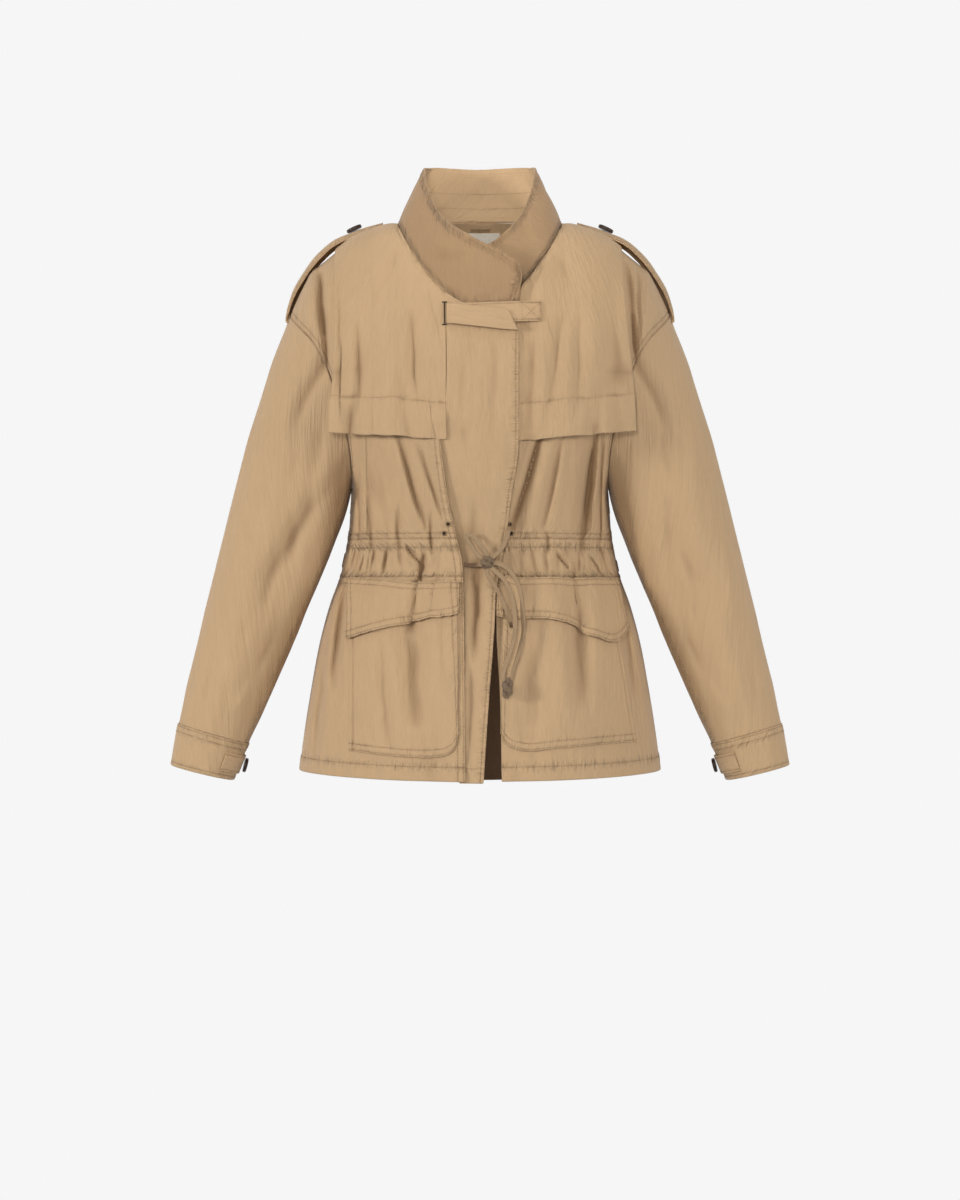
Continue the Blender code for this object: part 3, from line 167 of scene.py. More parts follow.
FLAP_FOLDS = lengths(
    Fold,
    (-159, -60, -156, -255, 6, -3.6), (-148, -85, -149, -240, 7, 2.2), (-143, -128, -134, -246, 5.6, -4),
    (-82.4, -110, -69, -238, 6.2, -4), (-59, -212, -48, -290, 4.6, -2.2), (-74, -195, -64, -290, 7, 1.4),
    (-62, -85, -43, -170, 6, -2.6), (-145.4, -210, -147, -294, 6, -3), (-106, -180, -98, -290, 10, 2.2),
    (-120, -190, -119, -282, 7, -2.2), (93, -120, 75.6, -250, 7, -3.6), (114, -120, 108, -250, 7, -3.2),
    (104, -140, 96, -255, 7, 2), (64, -130, 59, -260, 6.2, -2.6), (150, -60, 156, -210, 9, -2.8),
    (128, -80, 133, -220, 11, 2.2), (80, -40, 105, -100, 7, -2.2), (-90, -40, -115, -110, 8, -2),
    (142, -210, 144, -282, 6, 2.4), (-122, -60, -124, -190, 9, -2.2),
)
PLACKET_FOLDS = lengths(
    Fold,
    (-20, -150, -18, -300, 4, -1.2), (-4, -160, 2, -330, 5, 1.2), (16, -150, 12, -320, 4, -1.2),
    (-6, -330, -11, -400, 4, -1.4), (-3, -405, -6, -530, 6, -7), (-15, -430, -17, -600, 5, 2.4),
    (-10, -520, -12, -640, 5, -2.2),
)
FINE_BACK_FOLDS = lengths(
    Fold,
    (-30, -230, -24, -390, 6, 2.4), (20, -220, 28, -390, 5, -2.6), (60, -250, 48, -390, 5, 2.4),
    (-80, -240, -60, -390, 5, -3), (114, -240, 98, -392, 5, -3.6), (-118, -260, -106, -392, 4.5, -3),
    (-145, -250, -139, -396, 3.5, -3.4), (143, -270, 137, -398, 3.5, -3.4),
    (-40, -420, -35, -600, 10, 2.6), (100, -425, 94, -600, 11, -3), (-105, -425, -118, -600, 11, -3),
    (25, -425, 30, -580, 10, -2.4), (-95, -398, -82, -424, 2.6, 3), (70, -398, 81, -424, 2.6, 3),
    (-20, -398, -30, -424, 2.6, -2.8), (40, -398, 34, -424, 2.6, -2.8), (-130, -396, -142, -424, 2.6, -3),
    (128, -396, 140, -424, 2.6, -3), (-170, -70, -162, -180, 6, -4), (172, -75, 164, -190, 6, -4),
)

# gathers at the waist: how long, how far above and below the casing, how high, and the number of
# waves of the front and the back with the seed of their noise
GATHER_LONG = 0.05
GATHER_ABOVE = 0.034
GATHER_BELOW = 0.02
GATHER_RISE = 0.0056
FRONT_GATHERS = (17, 41)
BACK_GATHERS = (15, 43)
FRONT_WRINKLES = 51
BACK_WRINKLES = 61

# upright edges, how far pieces stand out from the body at each height, and the placket's two sides
Edge = namedtuple("Edge", "z x")
RIGHT_EDGE = lengths(
    Edge,
    (-660, -16.5), (-454, -19), (-427.5, -19.5), (-411.7, -20.6), (-377.3, -28.2), (-357, -33),
    (-339, -36.6), (-316.5, -40.2), (-271, -46), (-240, -42.5), (-235, -41.2), (-110, -41.2),
)
LEFT_EDGE = lengths(
    Edge,
    (-660, 25.2), (-557, 22.9), (-500, 19.5), (-454, 17.8), (-410, 9.2), (-271, -2), (-110, -11.5),
)
Placket = namedtuple("Placket", "z left right")
PLACKET = lengths(
    Placket,
    (-661.5, -23, 3.4), (-591, -24, 8), (-474.5, -26.5, 16.6), (-443, -26.8, 18.3), (-407, -27.5, 24.8),
    (-368, -37.2, 31.5), (-328, -45, 36.6), (-290, -49, 43), (-262, -50, 44), (-238, -40.5, 44),
    (-225, -39.2, 44), (-115, -39.2, 44),
)
PLACKET_TOP = -0.1146
PLACKET_NECK_GAP = 0.001
Lift = namedtuple("Lift", "z out")
RIGHT_LIFT = lengths(
    Lift,
    (-660, 4.6), (-430, 5.2), (-300, 5.8), (-262, 4.8), (-235, 4), (-200, 0), (-110, 0),
)
PLACKET_LIFT = lengths(
    Lift,
    (-660, 1), (-275, 1.4), (-262, 1.8), (-246, 4.6), (-230, 5), (-205, 4.2), (-110, 3.7),
)
PLACKET_RIGHT_OUT = 0.0036
LEFT_PUSH = 0.0042
FLAP_LIFT = lengths(Lift, (-270, 8.5), (-240, 7.8), (-200, 5.2), (-150, 4), (0, 3.8))
FLAP_REACH = 0.215
FLAP_BAND = 0.0425
FLAP_OVER = 0.0024
FLAP_SINK = 0.0036
FLAP_NECK_OUT = 0.0012

# the sleeve: rings from the armhole to the end of the cuff
Ring = namedtuple("Ring", "out_x out_z in_x in_z deep mid_y")
SLEEVE = lengths(
    Ring,
    (224.2, -120.1, 151.6, -321.8, 80, 10), (241.3, -163.7, 154.6, -336, 75, 9),
    (260.2, -220.4, 161.7, -360.8, 70, 6), (276.7, -277, 173.5, -391.5, 66, 2),
    (290.9, -333.6, 187.6, -428, 61, -3), (303.9, -390.3, 203, -465.8, 57, -8),
    (318, -446.9, 218.9, -504.7, 53, -13), (331, -503.6, 235.4, -542.5, 49, -18),
    (343.4, -556.7, 252.5, -580.3, 45, -22), (352.8, -598, 271.4, -621.6, 40, -25),
    (361.1, -646.3, 289.1, -664, 36, -27),
)
BLEND_RINGS = 3.0
SLEEVE_FLAT = 0.84
CUFF_RING = 9.0
CUFF_PROUD = 0.0012
# creases: ring and turn in degrees of the middle, rise, half width in degrees, length in rings, slant
Crease = namedtuple("Crease", "ring turn rise wide long slant")
SLEEVE_CREASES = table(
    Crease,
    (1.6, 95, -0.005, 22, 1.6, 10), (2.4, 125, 0.0045, 20, 1.8, 14), (4.3, 70, 0.0035, 26, 1.7, -12),
    (5.6, 115, -0.004, 22, 1.5, 12), (7.2, 85, 0.003, 24, 1.4, -8), (3.6, 250, 0.004, 26, 1.8, 10),
    (5.8, 285, -0.0035, 24, 1.6, -10), (7.4, 235, 0.003, 22, 1.4, 8),
)
FINE_CREASES = table(
    Crease,
    (1.2, 60, 0.0016, 8, 0.9, 14), (1.9, 80, -0.0018, 9, 1.0, 12), (2.9, 60, 0.002, 9, 0.9, 16),
    (3.4, 105, -0.002, 10, 0.8, 18), (4.1, 130, 0.0022, 10, 0.7, 20), (4.9, 90, -0.0018, 9, 0.8, -14),
    (5.4, 55, 0.0016, 8, 0.9, 10), (6.2, 75, 0.002, 10, 0.7, 16), (6.6, 125, -0.002, 9, 0.8, -12),
    (7.8, 60, -0.0016, 8, 0.6, 10), (8.1, 110, 0.0018, 9, 0.5, -14), (2.2, 150, 0.002, 9, 0.9, 14),
    (2.4, 215, -0.0018, 9, 0.9, 10), (3.1, 260, 0.002, 10, 0.8, -14), (4.6, 300, -0.0018, 9, 0.9, 12),
    (5.2, 235, 0.002, 10, 0.8, 16), (6.4, 260, -0.0018, 9, 0.8, -12), (7.9, 285, 0.0016, 8, 0.6, 10),
    (1.5, 310, 0.0014, 9, 1.0, -8),
)
RIGHT_SLEEVE_CREASES = table(
    Crease,
    (1.6, 104, -0.0036, 9, 1.5, 8), (3.2, 116, -0.0052, 10, 2.2, -8), (3.0, 100, 0.002, 10, 2.0, -8),
)
UNDERARM = 157.0
FELLED_HALF = 4.0
# the collar's upper edge round the neck, by turn in degrees from the centre front
Collar = namedtuple("Collar", "turn x y z")
COLLAR_TOP = table(
    Collar,
    (-27.0, 0.0474, -0.103, -0.079), (-25.0, 0.0455, -0.1005, -0.069),
    (-20.0, 0.0335, -0.0965, -0.058), (-7.0, 0.0116, -0.089, -0.0455), (5.0, -0.008, -0.082, -0.0345),
    (20.0, -0.03, -0.066, -0.02), (38.0, -0.046, -0.042, -0.003),
    (60.0, -0.057, -0.014, 0.02), (90.0, -0.0664, 0.03, 0.056), (120.0, -0.058, 0.069, 0.064),
    (150.0, -0.033, 0.085, 0.0648), (180.0, 0.0, 0.09, 0.064), (210.0, 0.033, 0.085, 0.0648),
    (240.0, 0.058, 0.069, 0.064), (270.0, 0.065, 0.03, 0.056), (300.0, 0.058, -0.01, 0.021),
    (322.0, 0.048, -0.034, -0.003), (340.0, 0.034, -0.053, -0.021),
    (355.0, 0.013, -0.064, -0.0385), (365.0, -0.005, -0.065, -0.046),
    (376.0, -0.023, -0.061, -0.05),
)
COLLAR_START = -27.0
COLLAR_ROUND = 403.0
COLLAR_LAP = 0.004
COLLAR_FOOT_GAP = 0.0004
# storm flaps: outer edges and hems, out from the centre front
FlapHem = namedtuple("FlapHem", "x z")
RIGHT_FLAP_OUT = lengths(Edge, (-263, 168), (-165, 167.2), (-43, 168))
LEFT_FLAP_OUT = lengths(Edge, (-263, 173), (-185.7, 172.5), (-147, 169.5), (-88, 165.5), (-39, 164))
RIGHT_FLAP_HEM = lengths(
    FlapHem,
    (38.4, -269.7), (75, -267.2), (110, -264), (145, -262.2), (172, -259.4),
)
LEFT_FLAP_HEM = lengths(
    FlapHem,
    (30, -272), (46, -270.8), (80, -267.8), (120, -263.8), (150, -260.8), (177, -257.1),
)
RIGHT_FLAP_IN = 0.0388
FLAP_TUCK = 0.0004
FLAP_NECK_GAP = 0.0009
LEFT_FLAP_IN = 0.03
# patch pockets and their flaps: upper and lower edge at each distance from the centre front
Patch = namedtuple("Patch", "x top low")
RIGHT_POCKET = lengths(
    Patch,
    (23.6, -458, -610), (27, -458, -620), (36, -457, -629.6), (48, -456, -632.5), (70, -455, -633.2),
    (110, -452, -630.5), (149, -450, -626.8),
)
LEFT_POCKET = lengths(
    Patch,
    (23.6, -457, -605), (29, -457, -615), (39, -456, -622.3), (48, -455, -624.6), (90, -452, -622.5),
    (140, -450, -619.2), (181, -450, -617.2),
)
RIGHT_POCKET_FLAP = lengths(
    Patch,
    (22.5, -437.5, -470), (27, -437.2, -473.6), (40, -436.2, -475.8), (60, -435, -479.2),
    (104.2, -432.2, -487.2), (149.5, -429.6, -500.4),
)
LEFT_POCKET_FLAP = lengths(
    Patch,
    (19.5, -444, -473), (26, -430, -475), (41.2, -429.2, -475.8), (83.6, -429.7, -478.7),
    (103.6, -429.9, -484.6), (127.1, -430.2, -497), (160, -430.6, -499), (169, -431, -488),
)
LEFT_POCKET_LEAN = -0.165
LEFT_FLAP_LEAN = -0.18
POCKET_PROUD = 0.002
POCKET_BULGE = 0.003
POCKET_FLAP_PROUD = 0.0072
# epaulettes: inwards along the shoulder, with width and droop of the long edges
Epaulette = namedtuple("Epaulette", "x z wide droop")
EPAULETTE = lengths(
    Epaulette,
    (226.2, -117, 52, 12), (228.4, -114.1, 52, 12.5), (226.6, -104.7, 51, 13), (220.1, -85.8, 50, 13),
    (208.9, -66.9, 48, 12), (195.3, -48.1, 46, 11), (174, -29.2, 44, 9), (152, -19.6, 42, 7),
    (137, -14, 40, 6), (125, -10.6, 34, 4.5), (115.6, -8.5, 12, 1),
)
DART_X = 0.136
DART_TOP = -0.262
DART_HALF = 0.0042
Spot = namedtuple("Spot", "x z")
EYELETS = (
    ("eyelet_right_top", Spot(-0.0366, -0.367)), ("eyelet_right_low", Spot(-0.0412, -0.3775)),
    ("eyelet_left_top", Spot(0.0348, -0.367)), ("eyelet_left_low", Spot(0.0362, -0.3775)),
)
# outlines of turned pieces: height and radius, the button's as shares of its thickness and radius
EYELET_OUTLINE = (
    (-0.0005, 0.0026), (0.0002, 0.0029), (0.0007, 0.0027), (0.0009, 0.0023), (0.0008, 0.0019),
    (0.0003, 0.0016), (-0.0006, 0.0015), (-0.0008, 0.0006),
)
EYELET_HOLE = 0.0014
BUTTON_RIM = (
    (0.0, 0.9), (0.12, 0.97), (0.35, 1.0), (0.85, 0.98),
    (0.98, 0.93), (1.0, 0.86), (0.93, 0.79), (0.76, 0.73),
)
BUTTON_WELL = 0.7
EPAULETTE_BUTTON = Spot(0.148, -0.0168)
EPAULETTE_BUTTON_WAY = (0.42, 0.0, 0.91)
CUFF_BUTTON_TURN = 186.0

# drawstring and throat latch: routes over the front, each point with its distance out from the body
Step = namedtuple("Step", "x z out")
TAPE_SIDES = 20
BOW = Spot(0.008, -0.4115)
BOW_OUT = 0.0102
BOW_RADII = (0.0076, 0.0058, 0.0076)
END_KNOT = Spot(0.0309, -0.554)
END_OUT = 0.01
END_RADII = (0.0065, 0.0062, 0.011)
RIGHT_RUN = lengths(Step, (-18.2, -413, 5), (-11, -414.2, 6), (-3, -413.5, 8.5))
LOOP = lengths(
    Step,
    (7.8, -403, 11), (2, -392.5, 11.2), (-5, -383.8, 10.8), (-12, -379, 9.8), (-15.8, -381.2, 9),
    (-12.8, -386.8, 8.8), (-7.8, -394.5, 9), (-2, -403, 9.8),
)
SHORT_END = lengths(
    Step,
    (8, -422.8, 10.5), (16.5, -437, 9.5), (26.5, -456, 8.5), (32.5, -470, 8), (36.2, -484.9, 8),
)
LEFT_RUN = lengths(Step, (33, -373.5, 7.2), (29.2, -386, 7.4), (24, -396, 8.2), (16, -404, 9.8))
OUTER = lengths(
    Step,
    (18.8, -411.8, 10.5), (30, -416.5, 12.5), (39.5, -428, 13), (45.7, -442.6, 12.5),
    (48.6, -465.4, 11.5), (49.2, -490, 11), (44, -515.7, 11), (38.5, -532, 11), (35.8, -542.5, 10.5),
)
INNER = lengths(
    Step,
    (15.5, -419.2, 12), (27, -430, 13.5), (35.5, -447, 14), (39.5, -470, 14.5), (39.5, -493, 15),
    (34.5, -513.4, 14), (29, -529, 12.5), (26.2, -542.5, 11),
)
LATCH_LOWER = lengths(
    Step,
    (69.5, -122, 5.2), (59, -122, 5.4), (47.6, -122.2, 6), (40, -122.5, 6.6), (20, -123.2, 6.4),
    (0, -124, 6.2), (-20, -124.6, 6.2), (-34, -124.8, 6.2),
)
LATCH_UPPER = lengths(
    Step,
    (-34, -124.8, 9.2), (-20, -126.2, 9.6), (0, -128.4, 9.8), (20, -130.8, 9.8), (31, -132, 9.8),
    (37.5, -132.7, 9.8),
)
LATCH_FOLD_X = -0.0365
LATCH_FOLD_Z = -0.1248
LATCH_FOLD = 0.0015
LATCH_FOLD_OUT = 0.0077
LATCH_HALF = 0.0116
LATCH_SLANT = 0.0058
LATCH_BOX = ((0.0482, -0.112), (0.0482, -0.1322), (0.069, -0.1322), (0.069, -0.112))
LATCH_BOX_OUT = 0.0068
TAB_START = 122.0
TAB_END = 214.0
TAB_MID = 9.58
TAB_HALF = 0.24
TAB_PROUD = 0.0033

# seams: edge of the panel, distances of the stitch rows from it, width and step of the doubled
# cloth, and depth of the puckers
Seam = namedtuple("Seam", "side rows wide step pucker")
TWIN_ROWS = (0.0012, 0.007)
FACING_ROWS = (0.0018, 0.0085)
COLLAR_ROWS = (0.005, 0.0092)
FRONT_EDGE = Seam("start", FACING_ROWS, 0.0095, 0.0004, 0.0002)
FRONT_SEAMS = table(
    Seam,
    ("low", TWIN_ROWS, 0.0095, 0.0005, 0.00035), ("end", TWIN_ROWS, 0.0095, 0.0004, 0.0002),
    ("start", TWIN_ROWS, 0.0095, 0.0004, 0.00025),
)
BACK_SEAMS = table(
    Seam,
    ("low", TWIN_ROWS, 0.0095, 0.0005, 0.0003), ("end", TWIN_ROWS, 0.0095, 0.0004, 0.0002),
    ("start", (0.004,), 0.0055, 0.0004, 0.0002),
)
CASING_SEAMS = table(
    Seam, ("top", (0.0092,), 0.01, 0.0003, 0.001), ("low", (0.0012,), 0.003, 0.0003, 0.0009),
)
SKIRT_SEAMS = table(
    Seam, ("top", (0.007,), 0.0075, 0.0003, 0.0005), ("low", (0.016,), 0.0165, 0.0005, 0.0007),
)
PLACKET_SEAMS = table(
    Seam,
    ("start", (), 0.003, 0.0001, 0.0001), ("end", (0.0033,), 0.004, 0.0004, 0.0004),
    ("low", (0.016,), 0.0165, 0.0003, 0.0003),
)
FLAP_SEAMS = table(
    Seam,
    ("low", (FLAP_BAND,), 0.0, 0.0, 0.00025), ("end", (), 0.003, 0.0002, 0.0002),
    ("top", (0.002,), 0.003, 0.0002, 0.0004),
)
COLLAR_SEAMS = table(
    Seam,
    ("top", COLLAR_ROWS, 0.01, 0.0004, 0.0006), ("start", COLLAR_ROWS, 0.01, 0.0004, 0.0006),
    ("low", (0.0022,), 0.0035, 0.0003, 0.0005),
)
SLEEVE_SEAMS = table(Seam, ("low", (), 0.001, 0.0006, 0.0003), ("top", (), 0.001, 0.0004, 0.0004))
CUFF_SEAMS = table(
    Seam, ("low", (0.0018, 0.008), 0.009, 0.0004, 0.0004), ("top", (0.004,), 0.0045, 0.0003, 0.0003),
)
POCKET_SEAMS = table(
    Seam, ("low", FACING_ROWS, 0.0095, 0.0003, 0.0003), ("start", FACING_ROWS, 0.0095, 0.0003, 0.0002),
)
POCKET_FLAP_SEAMS = POCKET_SEAMS + table(
    Seam, ("end", FACING_ROWS, 0.0095, 0.0003, 0.0002), ("top", FACING_ROWS, 0.0095, 0.0002, 0.0002),
)
TAB_SEAMS = tuple(Seam(side, (0.0022,), 0.003, 0.0002, 0.0001) for side in ("low", "top", "end"))
LATCH_SEAMS = tuple(Seam(side, (0.0022,), 0.0028, 0.0002, 0.0001) for side in ("low", "top"))
STRAP_SEAMS = tuple(Seam(side, (0.002, 0.0075), 0.008, 0.0003, 0.0002) for side in ("start", "end"))


# ---- reading the tables and the body's surface ----

def smooth(xs, ys, x):
    """Read a table at x along a smooth curve through its rows."""
    xs = np.asarray(xs, float)
    ys = np.asarray(ys, float)
    order = np.argsort(xs)
    xs = xs[order]
    ys = ys[order]
    slope = np.gradient(ys, xs)
    x = np.clip(np.asarray(x, float), xs[0], xs[-1])
    i = np.clip(np.searchsorted(xs, x) - 1, 0, len(xs) - 2)
    step = xs[i + 1] - xs[i]
    t = (x - xs[i]) / step
    rest = 1.0 - t
    start = rest * rest * ((1 + 2 * t) * ys[i] + t * step * slope[i])
    end = t * t * ((3 - 2 * t) * ys[i + 1] - rest * step * slope[i + 1])
    return start + end


def read(rows, key, name, x):
    """Read one named column of a table against another."""
    return smooth([getattr(r, key) for r in rows], [getattr(r, name) for r in rows], x)


def ease(low, high, x):
    """Rise from 0 to 1 between low and high, or fall towards low when low is the greater."""
    t = np.clip((np.asarray(x, float) - low) / (high - low), 0.0, 1.0)
    return t * t * (3 - 2 * t)


def noise(u, v, seed):
    """Even, repeatable noise from -1 to 1 with one bump to each unit square, hashed with sines."""
    u, v = np.broadcast_arrays(np.asarray(u, float), np.asarray(v, float))
    i = np.floor(u)
    j = np.floor(v)
    a = u - i
    b = v - j
    a = a * a * (3 - 2 * a)
    b = b * b * (3 - 2 * b)

    def corner(di, dj):
        value = np.sin((i + di) * 127.1 + (j + dj) * 311.7 + seed * 74.7) * 43758.5453
        return (value - np.floor(value)) * 2 - 1

    low = corner(0, 0) * (1 - a) + corner(1, 0) * a
    high = corner(0, 1) * (1 - a) + corner(1, 1) * a
    return low * (1 - b) + high * b


def ridge_height(x):
    """Height of the shoulder line, carried on over the neck opening as a low arch."""
    out = np.abs(x)
    inside = np.clip(NECK_X - out, 0, None)
    arch = NECK_RISE * np.clip(1 - (out / NECK_X) ** 2, 0, 1) ** NECK_TURN
    return np.where(out < NECK_X, NECK_Z + NECK_LEAN * inside + arch, read(RIDGE, "x", "z", out))


def neckline(x):
    share = np.clip(np.abs(x) / NECK_X, 0, 1)
    return NECK_Z - NECK_DROP * (1 - share ** NECK_POWER)


def back_neckline(x):
    share = np.clip(np.abs(x) / NECK_X, 0, 1)
    return NECK_Z * share ** 2


def fold_rise(x, z, folds, wander=0.0, ends=1.0):
    """How far folds lift the cloth at a point; wander bends their lines, ends below 1 are blunter."""
    total = np.zeros(np.broadcast(x, z).shape)
    for count, fold in enumerate(folds):
        run_x = fold.x_low - fold.x_top
        run_z = fold.z_low - fold.z_top
        length = math.hypot(run_x, run_z)
        along = ((x - fold.x_top) * run_x + (z - fold.z_top) * run_z) / length ** 2
        aside = ((x - fold.x_top) * run_z - (z - fold.z_top) * run_x) / length
        if wander:
            aside = aside + wander * noise(along * length / 0.03, count * 3.7, 5)
        t = np.clip(along, 0, 1)
        total = total + fold.rise * (4 * t * (1 - t)) ** ends * np.exp(-((aside / fold.wide) ** 2))
    return total


def depth(x, z, side, reach_floor=0.0):
    """How far the body stands out in front of or behind the shoulder ridge."""
    out = np.abs(x)
    reach = np.maximum(read(TRUNK, "z", "reach", z), reach_floor)
    share = np.clip(out / reach, 0, 1)
    belly = (1 - share ** BELLY) ** (1 / BELLY)
    below = np.clip((ridge_height(x) - z) / ROLL, 0, 1)
    roll = (1 - (1 - below) ** ROLL_POWER) ** (1 / ROLL_POWER)
    return read(TRUNK, "z", side, z) * belly * roll


def half_width(z):
    return read(TRUNK, "z", "half", z)


def share_of(x, limit):
    """Place across the body as a share of a quarter turn, from 0 at the middle to 1 at the limit."""
    return np.arcsin(np.clip(x / limit, -1, 1)) / (math.pi / 2)


def place_of(share, limit):
    return np.sin(share * math.pi / 2) * limit


def waist_wave(x, z, waves, seed):
    """Gathers drawn in by the waist: round ridges between narrow valleys, fading up and down."""
    turn = share_of(x, half_width(z))
    grow = ease(0.028, 0.06, np.abs(x)) * (0.3 + 1.35 * np.abs(turn) ** 2.5)
    lean = noise(turn * 4.0, 0.0, seed + 2) * (z - CASING_LOW) / 0.045
    phase = turn * waves + 0.55 * noise(turn * waves * 0.6, z / GATHER_LONG, seed) + 0.5 * lean
    ridge = np.abs(np.sin(math.pi * phase)) ** 0.75 - 0.55
    strong = 0.35 + 1.2 * np.abs(noise(turn * waves * 0.9, z / GATHER_LONG, seed + 1))
    inside = np.clip((z - CASING_LOW) / (CASING_TOP - CASING_LOW), 0, 1)
    swell = 0.35 + 0.65 * np.sin(math.pi * np.clip(inside * 1.35, 0, 1)) ** 1.5
    away = np.maximum(z - CASING_TOP, 0) / GATHER_ABOVE + np.maximum(CASING_LOW - z, 0) / GATHER_BELOW
    return grow * GATHER_RISE * ridge * strong * swell * np.exp(-away ** 1.3)


def wrinkles(x, z, seed):
    """Soft uneven wrinkles of worn cotton, longer than they are wide."""
    lean = x + 0.1 * z
    soft = noise(lean / 0.03, z / 0.11, seed) * 0.0009
    soft = soft + noise(lean / 0.014, z / 0.06, seed + 1) * 0.0007
    fine = noise(lean / 0.007, z / 0.034, seed + 2) * 0.00032
    return look().wrinkle * (soft + fine) * ease(0.0, 0.03, ridge_height(x) - z)


def front_y(x, z, reach_floor=0.0):
    """Y of the front at a point; a storm flap, which keeps its reach to the side, has its own folds."""
    finer = FLAP_FOLDS if reach_floor else PANEL_FOLDS
    folds = fold_rise(x, z, FOLDS) + fold_rise(x, z, finer, 0.0015, 0.8)
    folds = folds + fold_rise(x, z, PLACKET_FOLDS, 0.001)
    folds = folds * ease(0.0, 0.02, ridge_height(x) - z)
    folds = folds + waist_wave(x, z, *FRONT_GATHERS) + wrinkles(x, z, FRONT_WRINKLES)
    return RIDGE_Y - SEAM / 2 - depth(x, z, "front", reach_floor) - folds


def back_y(x, z):
    """Y of the back at a point."""
    folds = fold_rise(x, z, BACK_FOLDS) + fold_rise(x, z, FINE_BACK_FOLDS, 0.002, 0.5)
    folds = folds * ease(0.0, 0.02, ridge_height(x) - z)
    folds = folds + waist_wave(x, z, *BACK_GATHERS) + wrinkles(x, z, BACK_WRINKLES)
    return RIDGE_Y + SEAM / 2 + depth(x, z, "back") + folds


def front_point(x, z, out):
    """Point standing out from the front of the body."""
    return np.stack(np.broadcast_arrays(x, front_y(x, z) - out, z), axis=-1)


def right_edge(z):
    return -read(RIGHT_EDGE, "z", "x", z)


def left_edge(z):
    return read(LEFT_EDGE, "z", "x", z)


def centre_back(z):
    return np.full_like(np.asarray(z, float), SEAM / 2)


def under_flap(x, z):
    """How far the front sinks where a storm flap covers it, so that the two never touch."""
    out = np.abs(x)
    return FLAP_SINK * ease(-0.264, -0.252, z) * ease(0.05, 0.07, out) * ease(0.164, 0.158, out)


def right_out(x, z):
    near = 1 - ease(0.004, 0.045, -x - right_edge(z))
    return read(RIGHT_LIFT, "z", "out", z) * near - under_flap(x, z)


def left_push(x):
    """How far the left front is set back under the placket."""
    return LEFT_PUSH * (1 - ease(0.046, 0.085, x))


def left_out(x, z):
    return -left_push(x) - under_flap(x, z)


# the two fronts: side, sign of X, centre edge and how far the cloth stands out
FRONTS = (("right", -1, right_edge, right_out), ("left", 1, left_edge, left_out))


# ---- the cloth ----

# spacing of the points beside an edge, and how much coarser the back and the sleeves are
FINE = 0.0009
BACK_PITCH = 1.35
SLEEVE_PITCH = 1.6
# hollows, which get painted shade: reaches in steps of the grid, the depth that counts as full, and their
# share
Hollow = namedtuple("Hollow", "reaches full share")
HOLLOWS = table(
    Hollow, ((1, 2, 1, 2), 0.0012, 0.34), ((1, 2, 3, 4, 5), 0.0034, 0.42), ((2, 4, 6, 8, 9), 0.005, 0.36),
)
# relief beside a seam: run of its step, rounding of the edge, troughs under the stitches, puckers
STEP_RUN = 0.0024
EDGE_ROUND = 0.0012
TROUGH_DEEP = 0.0004
TROUGH_HALF = 0.0011
PUCKER_HALF = 0.0055
# half width of the painted shade beside each stitch row
SHADE_HALF = 0.0009
PUCKER_REACH = 0.005
PUCKER_FULL = 0.0005
STITCH_PROUD = 0.00012
BODY_CORE = np.array([0.0, RIDGE_Y, 0.0])
FRONT_CORE = np.array([0.0, 1.0, 0.0])
# the materials by name, and the seam lines of each group, filled as the pieces are made
made = {}
stitch_lines = {}


def unit(v):
    return v / np.maximum(np.linalg.norm(v, axis=-1, keepdims=True), 1e-12)


def run_along(points):
    """Distance of each point from the first along a line of points."""
    return np.concatenate([[0], np.cumsum(np.linalg.norm(np.diff(points, axis=0), axis=1))])


def straight(run, points, places):
    """Points at set places along a line of points, straight from one to the next."""
    return np.stack([np.interp(places, run, points[:, axis]) for axis in range(3)], axis=-1)


def curved(run, points, places):
    """Points at set places along a smooth curve through a line of points."""
    return np.stack([smooth(run, points[:, axis], places) for axis in range(3)], axis=-1)


def lines(length, pitch, start_band=0.0, end_band=0.0):
    """Places from 0 to 1 over a length in metres, closer together in a band at either end."""
    pitch = pitch * 1.0
    head = np.arange(0.0, start_band, FINE)
    tail = length - np.arange(0.0, end_band, FINE)
    count = max(3, int(round((length - start_band - end_band) / pitch)) + 1)
    middle = np.linspace(start_band, length - end_band, count)
    return np.unique(np.round(np.concatenate([head, middle, tail]), 6)) / length


def cloth_normals(grid, ring, core):
    """Unit normals of a grid of points, on the side away from the core."""
    down = np.gradient(grid, axis=0)
    if ring:
        across = (np.roll(grid, -1, axis=1) - np.roll(grid, 1, axis=1)) / 2
    else:
        across = np.gradient(grid, axis=1)
    n = unit(np.cross(down, across))
    middle = (grid.shape[0] // 2, grid.shape[1] // 2)
    away = grid[middle] - core
    away[2] = 0.0 if core[2] == 0.0 else away[2]
    return n if np.dot(n[middle], away) > 0 else -n


def arcs(grid):
    """Length along each row and up each column of a grid, in metres."""
    across = np.zeros(grid.shape[:2])
    across[:, 1:] = np.cumsum(np.linalg.norm(np.diff(grid, axis=1), axis=2), axis=1)
    up = np.zeros(grid.shape[:2])
    up[1:] = np.cumsum(np.linalg.norm(np.diff(grid, axis=0), axis=2), axis=0)
    return across, up


def cut_width(across):
    """Length along each row with the folds evened out, so that the grain runs straight."""
    width = across[:, -1:]
    share = (across / width).mean(axis=0)
    rows = np.arange(len(width))
    return share[None, :] * np.polyval(np.polyfit(rows, width[:, 0], 2), rows)[:, None]


def evened(up):
    """Smooth the column lengths from column to column, so that rows along an edge run without jogs."""
    for _ in range(30):
        wide = np.concatenate([up[:, :1], up, up[:, -1:]], axis=1)
        up = (wide[:, :-2] + 2 * up + wide[:, 2:]) / 4
    return up


